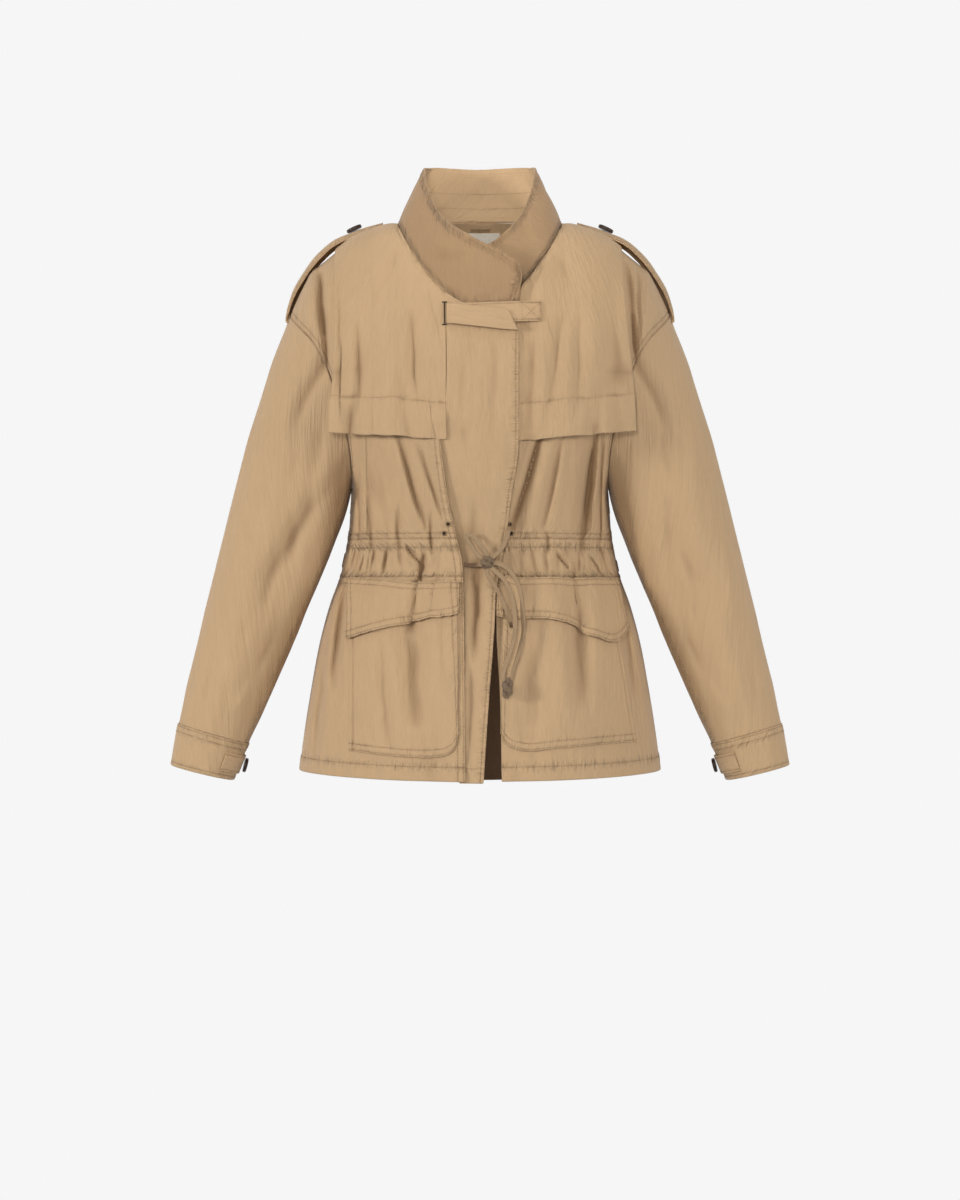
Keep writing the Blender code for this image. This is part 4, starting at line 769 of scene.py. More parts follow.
def edge_distance(side, across, up):
    if side == "start":
        return across
    if side == "end":
        return across[:, -1:] - across
    if side == "low":
        return up
    return up[-1:] - up


def seam_relief(seam, across, up):
    """Relief beside a sewn or turned edge: doubled cloth, troughs under the stitch rows, puckers."""
    away = edge_distance(seam.side, across, up)
    along = up if seam.side in ("start", "end") else across
    rise = seam.step * (1 - ease(seam.wide, seam.wide + STEP_RUN, away))
    rise = rise - 0.6 * seam.step * np.exp(-((away / EDGE_ROUND) ** 2))
    near = np.zeros_like(away)
    for row in seam.rows:
        rise = rise - TROUGH_DEEP * np.exp(-(((away - row) / TROUGH_HALF) ** 2))
        near = np.maximum(near, np.exp(-(((away - row) / PUCKER_HALF) ** 2)))
    slant = along + away * 0.3
    ripple = noise(slant / 0.0085, away / 0.018, 11) + 0.8 * noise(slant / 0.016, away / 0.024, 12)
    patchy = 0.35 + 0.65 * np.abs(noise(along / 0.045, 0.0, 13))
    return rise + seam.pucker * look().pucker * near * ripple * patchy * 1.8


def painted_seam_shade(seam, across, up):
    """How strongly painted shade darkens the cloth beside the stitch rows, from 0 to 1, standing in for the
    shadow in the troughs under the stitches.
    """
    away = edge_distance(seam.side, across, up)
    along = up if seam.side in ("start", "end") else across
    shade = np.zeros_like(away)
    for row in seam.rows:
        shade = np.maximum(shade, np.exp(-(((away - row) / SHADE_HALF) ** 2)))
    return shade * (0.55 + 0.45 * noise(along / 0.007, 0.0, 17))


def softened(grid, reaches, ring):
    """A grid of points evened out with its neighbours at each reach in turn, both ways."""
    for reach in reaches:
        for axis in (0, 1):
            ends = [(reach, reach) if a == axis else (0, 0) for a in range(3)]
            wide = np.pad(grid, ends, mode="wrap" if ring and axis == 1 else "edge")
            count = grid.shape[axis]
            before = wide.take(range(count), axis)
            after = wide.take(range(2 * reach, 2 * reach + count), axis)
            grid = (before + 2 * grid + after) / 4
    return grid


def hollows(face, n, ring):
    """How far each point lies below the cloth round it, from 0 to 1, read over a near and a far reach; it
    sets the painted shade of the folds.
    """
    total = np.zeros(face.shape[:2])
    for hollow in HOLLOWS:
        lower = ((softened(face, hollow.reaches, ring) - face) * n).sum(axis=-1)
        total = total + hollow.share * np.clip(lower / hollow.full, 0, 1)
    return np.clip(total, 0, 1)


def lay_attribute(mesh, name, values, lining=0.0):
    """Store a value for each point of the outer face and one value for the whole lining."""
    layer = mesh.attributes.new(name, "FLOAT", "POINT")
    value = np.full(len(mesh.vertices), lining, dtype=np.float32)
    value[:values.size] = values.ravel()
    layer.data.foreach_set("value", value)


def trace(grid, n, side, away, across, up):
    """Points on the cloth at a set distance from one edge."""
    distance = edge_distance(side, across, up)
    if side in ("low", "top"):
        distance = distance.T
        grid = grid.transpose(1, 0, 2)
        n = n.transpose(1, 0, 2)
    raised = grid + n * STITCH_PROUD
    points = []
    for place, line in zip(distance, raised):
        if place[0] > place[-1]:
            place, line = place[::-1], line[::-1]
        points.append(straight(place, line, away))
    return np.array(points)


def add_stitches(group, points):
    stitch_lines.setdefault(group, []).append(np.asarray(points))


def shell_mesh(name, grid, n, thick, uv, ring, inner_rise):
    """A closed cloth wall: outer face, inner face and a rounded rim."""
    rows, columns = grid.shape[:2]
    wide = columns + 1 if ring else columns
    cell = np.arange(rows * wide).reshape(rows, wide)
    vertex = np.arange(rows * columns).reshape(rows, columns)
    if ring:
        vertex = np.concatenate([vertex, vertex[:, :1]], axis=1)
    vertex = vertex.ravel()
    outer = np.stack([cell[:-1, :-1], cell[:-1, 1:], cell[1:, 1:], cell[1:, :-1]], axis=-1).reshape(-1, 4)
    i, j = rows // 2, columns // 2
    turned = np.dot(np.cross(grid[i, j] - grid[i, j - 1], grid[i, j] - grid[i - 1, j]), n[i, j]) < 0
    cells = rows * wide
    count = rows * columns
    flat = grid.reshape(-1, 3)
    lining = (grid - n * (thick + inner_rise)[..., None]).reshape(-1, 3)
    past = np.zeros_like(grid)
    past[0] += unit(grid[0] - grid[1])
    past[-1] += unit(grid[-1] - grid[-2])
    if ring:
        loops = [cell[0], cell[-1][::-1]]
    else:
        past[:, 0] += unit(grid[:, 0] - grid[:, 1])
        past[:, -1] += unit(grid[:, -1] - grid[:, -2])
        around = [cell[0], cell[1:, -1], cell[-1, -2::-1], cell[-2:0:-1, 0], cell[0, :1]]
        loops = [np.concatenate(around)]
    past = unit(past).reshape(-1, 3)
    points = [flat, lining]
    flat_uv = uv.reshape(-1, 2)
    uvs = [flat_uv, flat_uv]
    corners = [outer, outer[:, ::-1] + cells]
    owners = [vertex, vertex + count]
    base_cell = 2 * cells
    base_point = 2 * count
    for loop in loops:
        own = vertex[loop]
        rim = (flat[own[:-1]] + lining[own[:-1]]) / 2 + past[own[:-1]] * thick * 0.35
        points.append(rim)
        uvs.append(flat_uv[loop])
        owners.append(base_point + np.concatenate([np.arange(len(rim)), [0]]))
        mid = base_cell + np.arange(len(loop))
        first = np.stack([loop[1:], loop[:-1], mid[:-1], mid[1:]], axis=1)
        second = np.stack([mid[1:], mid[:-1], loop[:-1] + cells, loop[1:] + cells], axis=1)
        corners.extend([first, second])
        base_cell += len(loop)
        base_point += len(rim)
    corners = np.concatenate(corners)
    if turned:
        corners = corners[:, ::-1]
    owners = np.concatenate(owners)
    return quad_mesh(name, np.concatenate(points), owners[corners], np.concatenate(uvs)[corners])


def quad_mesh(name, points, faces, corner_uvs):
    mesh = bpy.data.meshes.new(name)
    mesh.vertices.add(len(points))
    mesh.vertices.foreach_set("co", np.asarray(points, dtype=np.float32).ravel())
    mesh.loops.add(faces.size)
    mesh.loops.foreach_set("vertex_index", np.asarray(faces, dtype=np.int32).ravel())
    mesh.polygons.add(len(faces))
    mesh.polygons.foreach_set("loop_start", np.arange(0, faces.size, 4, dtype=np.int32))
    mesh.polygons.foreach_set("use_smooth", np.ones(len(faces), dtype=bool))
    layer = mesh.uv_layers.new(name="UVMap")
    layer.data.foreach_set("uv", np.asarray(corner_uvs, dtype=np.float32).ravel())
    mesh.update(calc_edges=True)
    return mesh


def put(name, mesh, material, nodes):
    """Place a finished piece, riding on the jacket, in place of its frame nodes."""
    piece = bpy.data.objects.new(name, mesh)
    bpy.context.scene.collection.objects.link(piece)
    if not mesh.materials:
        mesh.materials.append(material)
    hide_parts(*nodes)
    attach(piece, "root")
    return piece


def sewn(seams, across, up, turn_uv):
    """Relief and painted shade of a panel's seams, and its puckers: along its rows first, then up its
    columns.
    """
    rise = np.zeros(across.shape)
    shade = np.zeros(across.shape)
    puckers = [np.zeros(across.shape), np.zeros(across.shape)]
    for seam in seams:
        rise = rise + seam_relief(seam, across, up)
        shade = np.maximum(shade, painted_seam_shade(seam, across, up))
        way = int(seam.side in ("start", "end")) ^ int(turn_uv)
        away = edge_distance(seam.side, across, up)
        for row in seam.rows:
            near = np.exp(-(((away - row) / PUCKER_REACH) ** 2)) * seam.pucker / PUCKER_FULL
            puckers[way] = np.maximum(puckers[way], near)
    return rise, shade, puckers


def flat_map(name, grid, across, up, ring, turn_uv):
    """Places on the flat cut for the grain of the cloth, moved on a little from piece to piece."""
    seed = sum(ord(c) for c in name) % 17
    flat = cut_width(across)
    uv = np.stack([up, flat] if turn_uv else [flat, up], axis=-1) + seed * 0.37
    if ring:
        last = uv[:, -1:].copy()
        last[:, 0, 0] += np.linalg.norm(grid[:, 0] - grid[:, -1], axis=1)
        uv = np.concatenate([uv, last], axis=1)
    return uv


def declare_cut(grid, up, ring):
    """Work out the flat length and area of a panel's grid, without keeping them."""
    closing = np.linalg.norm(grid[:, 0] - grid[:, -1], axis=1).max() if ring else 0.0
    length = float(up[-1].max())
    falling = grid[1:, 1:] - grid[:-1, :-1]
    rising = grid[1:, :-1] - grid[:-1, 1:]
    cut = 0.5 * np.linalg.norm(np.cross(falling, rising), axis=2).sum()
    if ring:
        cut += closing * length


def cloth(name, grid, thick, seams=(), core=BODY_CORE, ring=False, relief=None, lining=None, nodes=None,
          group="body", turn_uv=False, painted_shade=0.0, inside=0.0):
    """One panel of cloth with its seams, laid on a grid of points, in place of its node.

    Painted shade: one value darkens the outer face a little and inside darkens the lining, where the
    garment shades them.
    """
    n = cloth_normals(grid, ring, core)
    across, up = arcs(grid)
    up = evened(up)
    rise, shade, puckers = sewn(seams, across, up, turn_uv)
    if relief is not None:
        rise = relief(across, up) + rise
    face = grid + n * rise[..., None]
    nodes = nodes or (name,)
    name = name + "_cloth"
    uv = flat_map(name, grid, across, up, ring, turn_uv)
    inner = np.zeros(grid.shape[:2]) if lining is None else lining(across, up)
    mesh = shell_mesh(name, face, n, thick, uv, ring, inner)
    # painted shade beside the stitch rows
    lay_attribute(mesh, "seam", shade)
    # painted shade in the hollows of the folds, plus a little over the whole outer face where a panel asks
    # for it
    lay_attribute(mesh, "hollow", np.clip(hollows(face, n, ring) + painted_shade, 0, 1))
    # painted shade of the lining inside the garment
    lay_attribute(mesh, "inside", np.zeros_like(shade), inside)
    lay_attribute(mesh, "pucker_across", puckers[0])
    lay_attribute(mesh, "pucker_up", puckers[1])
    piece = put(name, mesh, made["cotton"], nodes)
    declare_cut(grid, up, ring)
    for seam in seams:
        for row in seam.rows:
            add_stitches(group, trace(face, n, seam.side, row, across, up))
    return face, n


# ---- body panels ----

def upper_row(edge_x, half, inner, outer):
    """Places across a row of an upper panel, as shares of a quarter turn, closer together by the neck."""
    start = share_of(edge_x, half)
    knee = share_of(NECK_X, TIP_X)
    return np.concatenate([start + (knee - start) * inner, knee + (1 - knee) * outer[1:]])


def upper_grid(edge, sign, side):
    """Upper panel from its centre edge out to the side seam and armhole, waist to neck and shoulder."""
    pitch = look().pitch * (BACK_PITCH if side == "back" else 1.0)
    foot = CASING_TOP + SEAM / 2
    below_arm = lines(0.062, pitch, 0.01)[:-1]
    beside_arm = 1 - (1 - lines(0.2, pitch * 0.8)) ** 1.35
    inner = lines(0.07, pitch, 0.0105)
    outer = lines(0.19, pitch, 0.0, 0.01)
    flat = []
    for z_row in foot + (ARM_Z - CASING_TOP - SEAM / 2) * below_arm:
        half = half_width(z_row)
        x = place_of(upper_row(edge(z_row), half, inner, outer), half)
        flat.append(np.stack([x, np.full_like(x, z_row)], axis=1))
    for t in beside_arm:
        half = half_width(ARM_Z + t * (TIP_Z - ARM_Z))
        row = upper_row(edge(ARM_Z + t * (NECK_Z - NECK_DROP - ARM_Z)), half, inner, outer)
        x_top = place_of(row, TIP_X)
        neck = neckline(x_top) if side == "front" else back_neckline(x_top)
        z_top = np.where(x_top < NECK_X, neck - SEAM / 2, ridge_height(x_top))
        flat.append(np.stack([place_of(row, half), ARM_Z + t * (z_top - ARM_Z)], axis=1))
    flat = np.array(flat)
    x = flat[..., 0] * sign
    z = flat[..., 1]
    y = front_y(x, z) if side == "front" else back_y(x, z)
    return np.stack([x, y, z], axis=2)


def band_grid(edge, sign, side, heights, pitch, bands, both=False):
    """Casing or skirt panel between an upper and a lower height; both takes it from side to side."""
    top, low = heights
    height = top - low
    width = float(half_width((top + low) / 2)) * (2.9 if both else 1.45)
    shares = lines(width, pitch, 0.0 if both or side == "back" else 0.0105)
    drop = HEM_FRONT_DROP if side == "front" else HEM_BACK_DROP
    grid = []
    for t in lines(height, min(look().pitch, 0.003), *bands):
        z_row = low + t * height
        half = half_width(z_row)
        start = -1.0 if both else share_of(edge(z_row), half)
        u = start + (1.0 - start) * shares
        x = place_of(u, half)
        hang = drop * np.cos(u * math.pi / 2) ** 2 * (1 - t) if low == HEM_SIDE else 0.0
        z = np.full_like(x, z_row) - hang
        y = front_y(x * sign, z) if side == "front" else back_y(x * sign, z)
        grid.append(np.stack([x * sign, y, z], axis=1))
    return np.array(grid)


def front_upper(side, sign, edge, out):
    """One front above the waist, with the seam of its side dart and the two stitch lines along it."""
    grid = upper_grid(edge, sign, "front")
    x, z = grid[..., 0], grid[..., 2]
    grid[..., 1] -= out(x, z)
    dart = DART_X * sign

    def groove(across, up):
        return -0.0007 * dart_line(x - dart, z)

    seams = FRONT_SEAMS if sign < 0 else FRONT_SEAMS[:2]
    cloth("front_" + side, grid, CLOTH, seams, relief=groove)
    heights = np.linspace(DART_TOP, CASING_TOP + 0.01, 60)
    for aside in (-DART_HALF, DART_HALF):
        line = np.full(len(heights), dart + aside)
        add_stitches("body", front_point(line, heights, out(line, heights) + 0.0002))


def build_upper():
    for front in FRONTS:
        front_upper(*front)
    for side, sign in SIDES:
        cloth("back_" + side, upper_grid(centre_back, sign, "back"), CLOTH, BACK_SEAMS)


def dart_line(aside, z):
    """Relief of the doubled vertical seam down the side of the chest."""
    fade = ease(-0.245, -0.262, z)
    return fade * (np.exp(-((aside - 0.0052) / 0.001) ** 2) - 0.7 * np.exp(-((aside / 0.005) ** 4)))


def build_band(name, heights, pitches, bands, seams, group):
    """The two front pieces and the back of the casing or of the skirt, front pitch and back pitch apart."""
    for side, sign, edge, out in FRONTS:
        grid = band_grid(edge, sign, "front", heights, pitches[0], bands)
        grid[..., 1] -= out(grid[..., 0], grid[..., 2])
        own = seams + (FRONT_EDGE,) if sign < 0 else seams
        # the lining of the casing and of the skirt gets painted shade, where the garment shades its inside
        cloth(name + "_" + side, grid, CLOTH, own, group=group, inside=1.0)
    grid = band_grid(centre_back, 1, "back", heights, pitches[1], bands, both=True)
    cloth(name + "_back", grid, CLOTH, seams, group=group, inside=1.0)


def build_waist():
    heights = (CASING_TOP - SEAM / 2, CASING_LOW + SEAM / 2)
    build_band("casing", heights, (0.0024, 0.003), (0.0105, 0.012), CASING_SEAMS, "waist")


def build_skirts():
    pitch = look().pitch
    heights = (CASING_LOW - SEAM / 2, HEM_SIDE)
    pitches = (pitch, pitch * BACK_PITCH)
    build_band("skirt", heights, pitches, (0.019, 0.01), SKIRT_SEAMS, "skirt")


def build_placket():
    rise = lines(0.55, look().pitch, 0.019, 0.0)[:, None]
    z = PLACKET[0].z + (PLACKET_TOP - PLACKET[0].z) * rise
    t = lines(0.062, 0.0022, 0.0045, 0.006)
    left = read(PLACKET, "z", "left", z)
    right = read(PLACKET, "z", "right", z)
    x = left + (right - left) * t
    z = z + (neckline(x) - PLACKET_NECK_GAP - PLACKET_TOP) * ease(0.8, 1.0, rise)
    across = ease(-0.03, 0.012, x)
    out = read(PLACKET_LIFT, "z", "out", z) * (1 - across) + PLACKET_RIGHT_OUT * across
    soft = 0.0012 * np.sin(math.pi * t)[None, :] ** 2 * np.sin((z + 0.11) * 26)
    grid = np.stack([x, front_y(x, z) - out - soft * ease(-0.62, -0.45, z), z], axis=2)
    cloth("placket", grid, PLACKET_CLOTH, PLACKET_SEAMS)


def flap_top(x):
    wide = NECK_X + FLAP_NECK_GAP
    share = np.clip(x / wide, 0, 1)
    below_collar = NECK_Z - FLAP_NECK_GAP - NECK_DROP * (1 - share ** NECK_POWER)
    return np.where(x < wide, np.minimum(below_collar, ridge_height(wide)), ridge_height(x))


def flap_band(across, up):
    """Relief of the doubled hem of a storm flap."""
    return 0.0006 * ease(FLAP_BAND + 0.001, FLAP_BAND - 0.0012, up)


def build_flap(side, sign, inner, outer, hem):
    """Storm flap: sewn at the shoulder and collar seam, loose below."""
    pitch = look().pitch
    t = 1 - (1 - lines(0.235, pitch, 0.0105)) ** 1.3
    width = float(read(outer, "z", "x", -0.04)) - inner
    knee = (NECK_X + FLAP_NECK_GAP - inner) / width
    beyond = lines(0.075, pitch, 0, 0.0105)[1:]
    s = np.concatenate([knee * lines(0.07, pitch, 0.0105), knee + (1 - knee) * beyond])
    top_z = flap_top(inner + width * s)
    low_z = read(hem, "x", "z", inner + (read(outer, "z", "x", -0.26) - inner) * s)
    z = low_z[None, :] + t[:, None] * (top_z - low_z)[None, :]
    x = (inner + (read(outer, "z", "x", z) - inner) * s[None, :]) * sign
    drape = 0.003 * np.sin(s * math.pi * 4.2 + 0.6)[None, :] * (1 - ease(0.0, 0.75, t))[:, None]
    drape = drape * np.sin(np.clip(s * 1.15, 0, 1) * math.pi / 2)[None, :]
    out = read(FLAP_LIFT, "z", "out", z) + drape
    if sign > 0:
        out = FLAP_TUCK + (out - FLAP_TUCK) * ease(0.052, 0.07, x)
    by_neck = ease(0.016, 0.003, top_z[None, :] - z) * ease(0.108, 0.094, np.abs(x))
    out = out * (1 - by_neck) + np.minimum(out, FLAP_NECK_OUT) * by_neck
    grid = np.stack([x, front_y(x, z, FLAP_REACH), z], axis=2)
    grid = grid + cloth_normals(grid, False, BODY_CORE) * out[..., None]
    if sign < 0:
        near = 1 - ease(0.0, 0.026, -x - inner)
        beside = front_y(x, z) - read(PLACKET_LIFT, "z", "out", z) - FLAP_OVER * ease(-0.234, -0.246, z)
        grid[..., 1] = grid[..., 1] * (1 - near) + beside * near
    cloth("storm_flap_" + side, grid, FLAP_CLOTH, FLAP_SEAMS, relief=flap_band, group="flaps")


def build_flaps():
    build_flap("right", -1, RIGHT_FLAP_IN, RIGHT_FLAP_OUT, RIGHT_FLAP_HEM)
    build_flap("left", 1, LEFT_FLAP_IN, LEFT_FLAP_OUT, LEFT_FLAP_HEM)


def collar_foot(turn):
    """Points of the collar foot at turns in degrees round the neck, from the centre front."""
    x = -NECK_X * np.sin(np.radians(turn))
    behind = (turn > 90.0) & (turn < 270.0)
    level = 1 - ease(2.0, 14.0, turn)
    z_front = neckline(x) * (1 - level) + (NECK_Z - NECK_DROP + 0.0006) * level
    z = np.where(behind, back_neckline(x), z_front)
    pushed = np.where(turn < 90.0, -COLLAR_LAP * ease(-0.09, -0.06, x), left_push(x))
    y_front = RIDGE_Y - SEAM / 2 - depth(x, z, "front") + pushed
    y = np.where(behind, RIDGE_Y + SEAM / 2 + depth(x, z, "back"), y_front)
    return np.stack([x, y, z + COLLAR_FOOT_GAP], axis=-1)


def build_collar():
    turns = COLLAR_START + COLLAR_ROUND * lines(0.53, look().pitch, 0.014, 0.014)
    t = lines(0.062, 0.003, 0.006, 0.018)[:, None, None]
    foot = collar_foot(turns)[None]
    top = np.stack([read(COLLAR_TOP, "turn", axis, turns) for axis in ("x", "y", "z")], axis=-1)[None]
    grid = foot + (top - foot) * t
    roll = 0.0016 * np.sin(math.pi * t[..., 0]) * np.ones(len(turns))
    behind = ease(95, 125, turns) * (1 - ease(235, 265, turns))
    band = 0.0006 * (np.exp(-(((grid[..., 2] - 0.019) / 0.0012) ** 2)) * behind)

    def relief(across, up):
        slant = across + 0.5 * up
        broad = 0.0019 * noise(slant / 0.04, up / 0.045, 4)
        return roll + broad + 0.0008 * noise(slant / 0.016, up / 0.02, 6)

    def lining(across, up):
        return band

    core = np.array([0.0, 0.03, 0.0])
    # the collar's outer face gets a little painted shade, where the collar shades itself
    face, n = cloth("collar", grid, COLLAR_CLOTH, COLLAR_SEAMS, core=core, relief=relief, lining=lining,
                    group="collar", painted_shade=0.74)
    stitch_neck_facing(face - n * (COLLAR_CLOTH + 0.0003), turns)


def stitch_neck_facing(inside, turns):
    """Two level stitch lines across the inner face of the collar at the back."""
    for height in (0.0345, 0.0165):
        line = []
        for j in np.flatnonzero((turns > 110) & (turns < 250)):
            column = inside[:, j]
            line.append(straight(column[:, 2], column, height))
        add_stitches("collar", line)


# ---- sleeves ----

def above_arm(panel):
    """Outer edge of an upper panel from under the arm to the shoulder."""
    first = int(np.searchsorted(panel[:, -1, 2], ARM_Z - 1e-6))
    return panel[first:, -1]


def armhole():
    """Points of the armhole of the left side from under the arm up the back and down the front."""
    front = above_arm(upper_grid(left_edge, 1, "front"))
    back = above_arm(upper_grid(centre_back, 1, "back"))
    tip = (front[-1] + back[-1]) / 2
    under = (front[0] + back[0]) / 2
    ring = np.concatenate([[under], back[1:-1], [tip], front[-2:0:-1], [under]])
    run = run_along(ring)
    count = int(run[-1] / (look().pitch * SLEEVE_PITCH))
    places = np.linspace(0, run[-1], count, endpoint=False)
    return straight(run, ring, places)


def ring_angles(ring):
    """Turn of each armhole point round the first sleeve ring, in radians from its outer end."""
    first = SLEEVE[0]
    out = np.array([first.out_x, first.out_z])
    inn = np.array([first.in_x, first.in_z])
    run = out - inn
    share = ((ring[:, [0, 2]] - inn) @ run) / (run @ run)
    angle = np.arccos(np.clip(2 * share - 1, -1, 1))
    tip = int(np.argmin(angle))
    angle[:tip] = 2 * math.pi - angle[:tip]
    return angle


def sleeve_rings(t, angle):
    """Plain oval rings of the sleeve at places t down its length, and their middles."""
    t = np.atleast_1d(np.asarray(t, float))
    at = Ring(*(smooth(range(len(SLEEVE)), column, t) for column in zip(*SLEEVE)))
    middle = np.stack([(at.out_x + at.in_x) / 2, at.mid_y, (at.out_z + at.in_z) / 2], axis=1)
    run = np.stack([(at.out_x - at.in_x) / 2, 0 * t, (at.out_z - at.in_z) / 2], axis=1)
    points = middle[:, None] + np.cos(angle)[None, :, None] * run[:, None]
    flat = np.sign(np.sin(angle)) * np.abs(np.sin(angle)) ** SLEEVE_FLAT
    points[..., 1] -= flat[None, :] * at.deep[:, None]
    return points, middle


def sleeve_grid(t, sign, ring, angle, creases):
    points, middle = sleeve_rings(t, angle)
    first, _ = sleeve_rings(0.0, angle)
    blend = np.clip(1 - t / BLEND_RINGS, 0, None) ** 2
    points = points + (ring - first[0])[None] * blend[:, None, None]
    degrees = np.degrees(angle)[None, :]
    place = t[:, None]
    rise = np.zeros(points.shape[:2])
    for crease in creases:
        centre = crease.turn + crease.slant * (place - crease.ring)
        apart = (degrees - centre + 180) % 360 - 180
        along = (place - crease.ring) / crease.long
        rise = rise + crease.rise * np.exp(-((apart / crease.wide) ** 2) - along ** 2)
    fade = np.clip(t / 1.2, 0, 1) * np.clip(CUFF_RING - t, 0, 1)
    out = unit(points - middle[:, None])
    points = points + out * (rise * fade[:, None])[..., None]
    gap = np.where(t < 0.3, 1.3, 0.5)
    points = points + np.array([0.941, 0.0, -0.339]) * (SEAM * gap)[:, None, None]
    points[..., 0] *= sign
    middle[:, 0] *= sign
    return points, middle


def sleeve_relief(wind):
    """Relief of a sleeve's outer face, its felled underarm seam too, for places round it from 0 to 1."""
    degrees = wind * 360
    beside = np.exp(-(((degrees - UNDERARM) / 7.0) ** 2))
    before = ease(UNDERARM - 6.0, UNDERARM - 4.0, degrees)
    felled = 0.0005 * before * ease(UNDERARM + 6.0, UNDERARM + 4.0, degrees)

    def relief(across, up):
        fine = 0.0007 * noise(wind * 22, up / 0.055, 21) + 0.0005 * noise(wind * 40, up / 0.03, 22)
        return (fine + felled + 0.0011 * beside * noise(up / 0.0085, wind * 30, 23)) * ease(0.0, 0.03, up)

    return relief


def build_sleeve(side, sign, ring, angle):
    t = (CUFF_RING - 0.012) * lines(0.6, look().pitch * SLEEVE_PITCH, 0.0, 0.006)
    own = RIGHT_SLEEVE_CREASES if sign < 0 else ()
    grid, middle = sleeve_grid(t, sign, ring, angle, SLEEVE_CREASES + FINE_CREASES + own)
    degrees = np.degrees(angle)
    relief = sleeve_relief(degrees[None, :] / 360)
    nodes = ("sleeve_" + side + "_front", "sleeve_" + side + "_back")
    face, n = cloth("sleeve_" + side, grid, CLOTH, SLEEVE_SEAMS, core=middle[len(t) // 2], ring=True,
                    relief=relief, nodes=nodes, group="sleeves")
    for turn in (UNDERARM - FELLED_HALF, UNDERARM + FELLED_HALF):
        column = int(np.argmin(np.abs(degrees - turn)))
        add_stitches("sleeves", (face + n * STITCH_PROUD)[:, column])


def build_cuff(side, sign, ring, angle):
    start = CUFF_RING + 0.012
    t = start + (10 - CUFF_RING - 0.012) * lines(0.045, 0.0028, 0.011, 0.005)
    grid, middle = sleeve_grid(t, sign, ring, angle, ())
    grid = grid + unit(grid - middle[:, None]) * CUFF_PROUD
    core = middle[len(t) // 2]
    cloth("cuff_" + side, grid, CUFF_CLOTH, CUFF_SEAMS, core=core, ring=True, group="sleeves")


def build_sleeves():
    ring = armhole()
    angle = ring_angles(ring)
    for side, sign in SIDES:
        build_sleeve(side, sign, ring, angle)
        build_cuff(side, sign, ring, angle)


def cuff_point(turn, place, out):
    angle = np.radians(np.atleast_1d(np.asarray(turn, float)))
    points, middle = sleeve_rings(place, angle)
    away = unit(points[0] - middle)
    return points[0] + away * out, away


def build_tabs():
    """Cuff tabs lying round the inner side of each cuff, with a tapered end."""
    turns = TAB_START + (TAB_END - TAB_START) * lines(0.07, 0.002, 0.003, 0.004)
    halves = TAB_HALF * (1 - 0.75 * ease(TAB_END - 14, TAB_END, turns))
    shares = lines(0.03, 0.002, 0.004, 0.004) * 2 - 1
    for side, sign in SIDES:
        grid = np.array([
            [cuff_point(turn, TAB_MID + share * half, TAB_PROUD)[0][0] for turn, half in zip(turns, halves)]
            for share in shares
        ])
        grid[..., 0] *= sign
        core = sleeve_rings(TAB_MID, np.zeros(1))[1][0] * (sign, 1, 1)
        cloth("cuff_tab_" + side, grid, TAB_CLOTH, TAB_SEAMS, core=core, group="sleeves", turn_uv=True)


# ---- pockets ----

def patch_grid(table, sign, s, t, proud, bulge, base, slope, lean):
    """A patch laid on the front skirt and moved out from it."""
    x = table[0].x + (table[-1].x - table[0].x) * s
    top = read(table, "x", "top", x)
    low = read(table, "x", "low", x)
    z = low[None, :] + (top - low)[None, :] * t[:, None]
    x = (x[None, :] + lean * s[None, :] ** 2 * (z - z.min())) * sign
    swell = np.sin(math.pi * s)[None, :] * np.sin(math.pi * t)[:, None]
    out = base(x, z) + proud + bulge * np.sqrt(np.clip(swell, 0, 1)) + slope * (1 - t)[:, None]
    grid = np.stack([x, front_y(x, z), z], axis=2)
    return grid + cloth_normals(grid, False, BODY_CORE) * out[..., None]


def bellows(across, up):
    """Relief of the fold along the outer side of a bellows pocket."""
    away = across[:, -1:] - across
    return -0.0018 * np.exp(-(((away - 0.0055) / 0.0016) ** 2))


def build_pocket(side, sign, pocket, flap, base, pocket_lean, flap_lean):
    pitch = look().pitch
    s = lines(0.15, pitch, 0.0105, 0.013)
    t = lines(0.165, pitch, 0.0105)
    grid = patch_grid(pocket, sign, s, t, POCKET_PROUD, POCKET_BULGE, base, 0.0, pocket_lean)
    cloth("pocket_" + side, grid, CLOTH, POCKET_SEAMS, relief=bellows, group="pockets")
    t = lines(0.06, pitch, 0.0105, 0.0105)
    s = lines(0.15, pitch, 0.0105, 0.0105)
    grid = patch_grid(flap, sign, s, t, POCKET_FLAP_PROUD, 0.0, base, 0.0012, flap_lean)
    cloth("pocket_flap_" + side, grid, FLAP_CLOTH, POCKET_FLAP_SEAMS, group="pockets")


def build_pockets():
    build_pocket("right", -1, RIGHT_POCKET, RIGHT_POCKET_FLAP, right_out, 0.0, 0.0)
    build_pocket("left", 1, LEFT_POCKET, LEFT_POCKET_FLAP, left_out, LEFT_POCKET_LEAN, LEFT_FLAP_LEAN)


# ---- small pieces ----

def build_epaulettes():
    run = np.linspace(0, 1, len(EPAULETTE))
    along = lines(0.17, 0.0024, 0.0, 0.006)
    across = lines(0.05, 0.0022, 0.009, 0.009) * 2 - 1
    shape = Epaulette(*(smooth(run, column, along)[:, None] for column in zip(*EPAULETTE)))
    x = shape.x + 0 * across
    y = RIDGE_Y + shape.wide / 2 * across
    z = shape.z - shape.droop * across ** 2
    core = np.array([0.0, RIDGE_Y, -0.2])
    for side, sign in SIDES:
        grid = np.stack([sign * x, y, z], axis=2)
        cloth("epaulette_" + side, grid, STRAP_CLOTH, STRAP_SEAMS, core=core, group="collar")


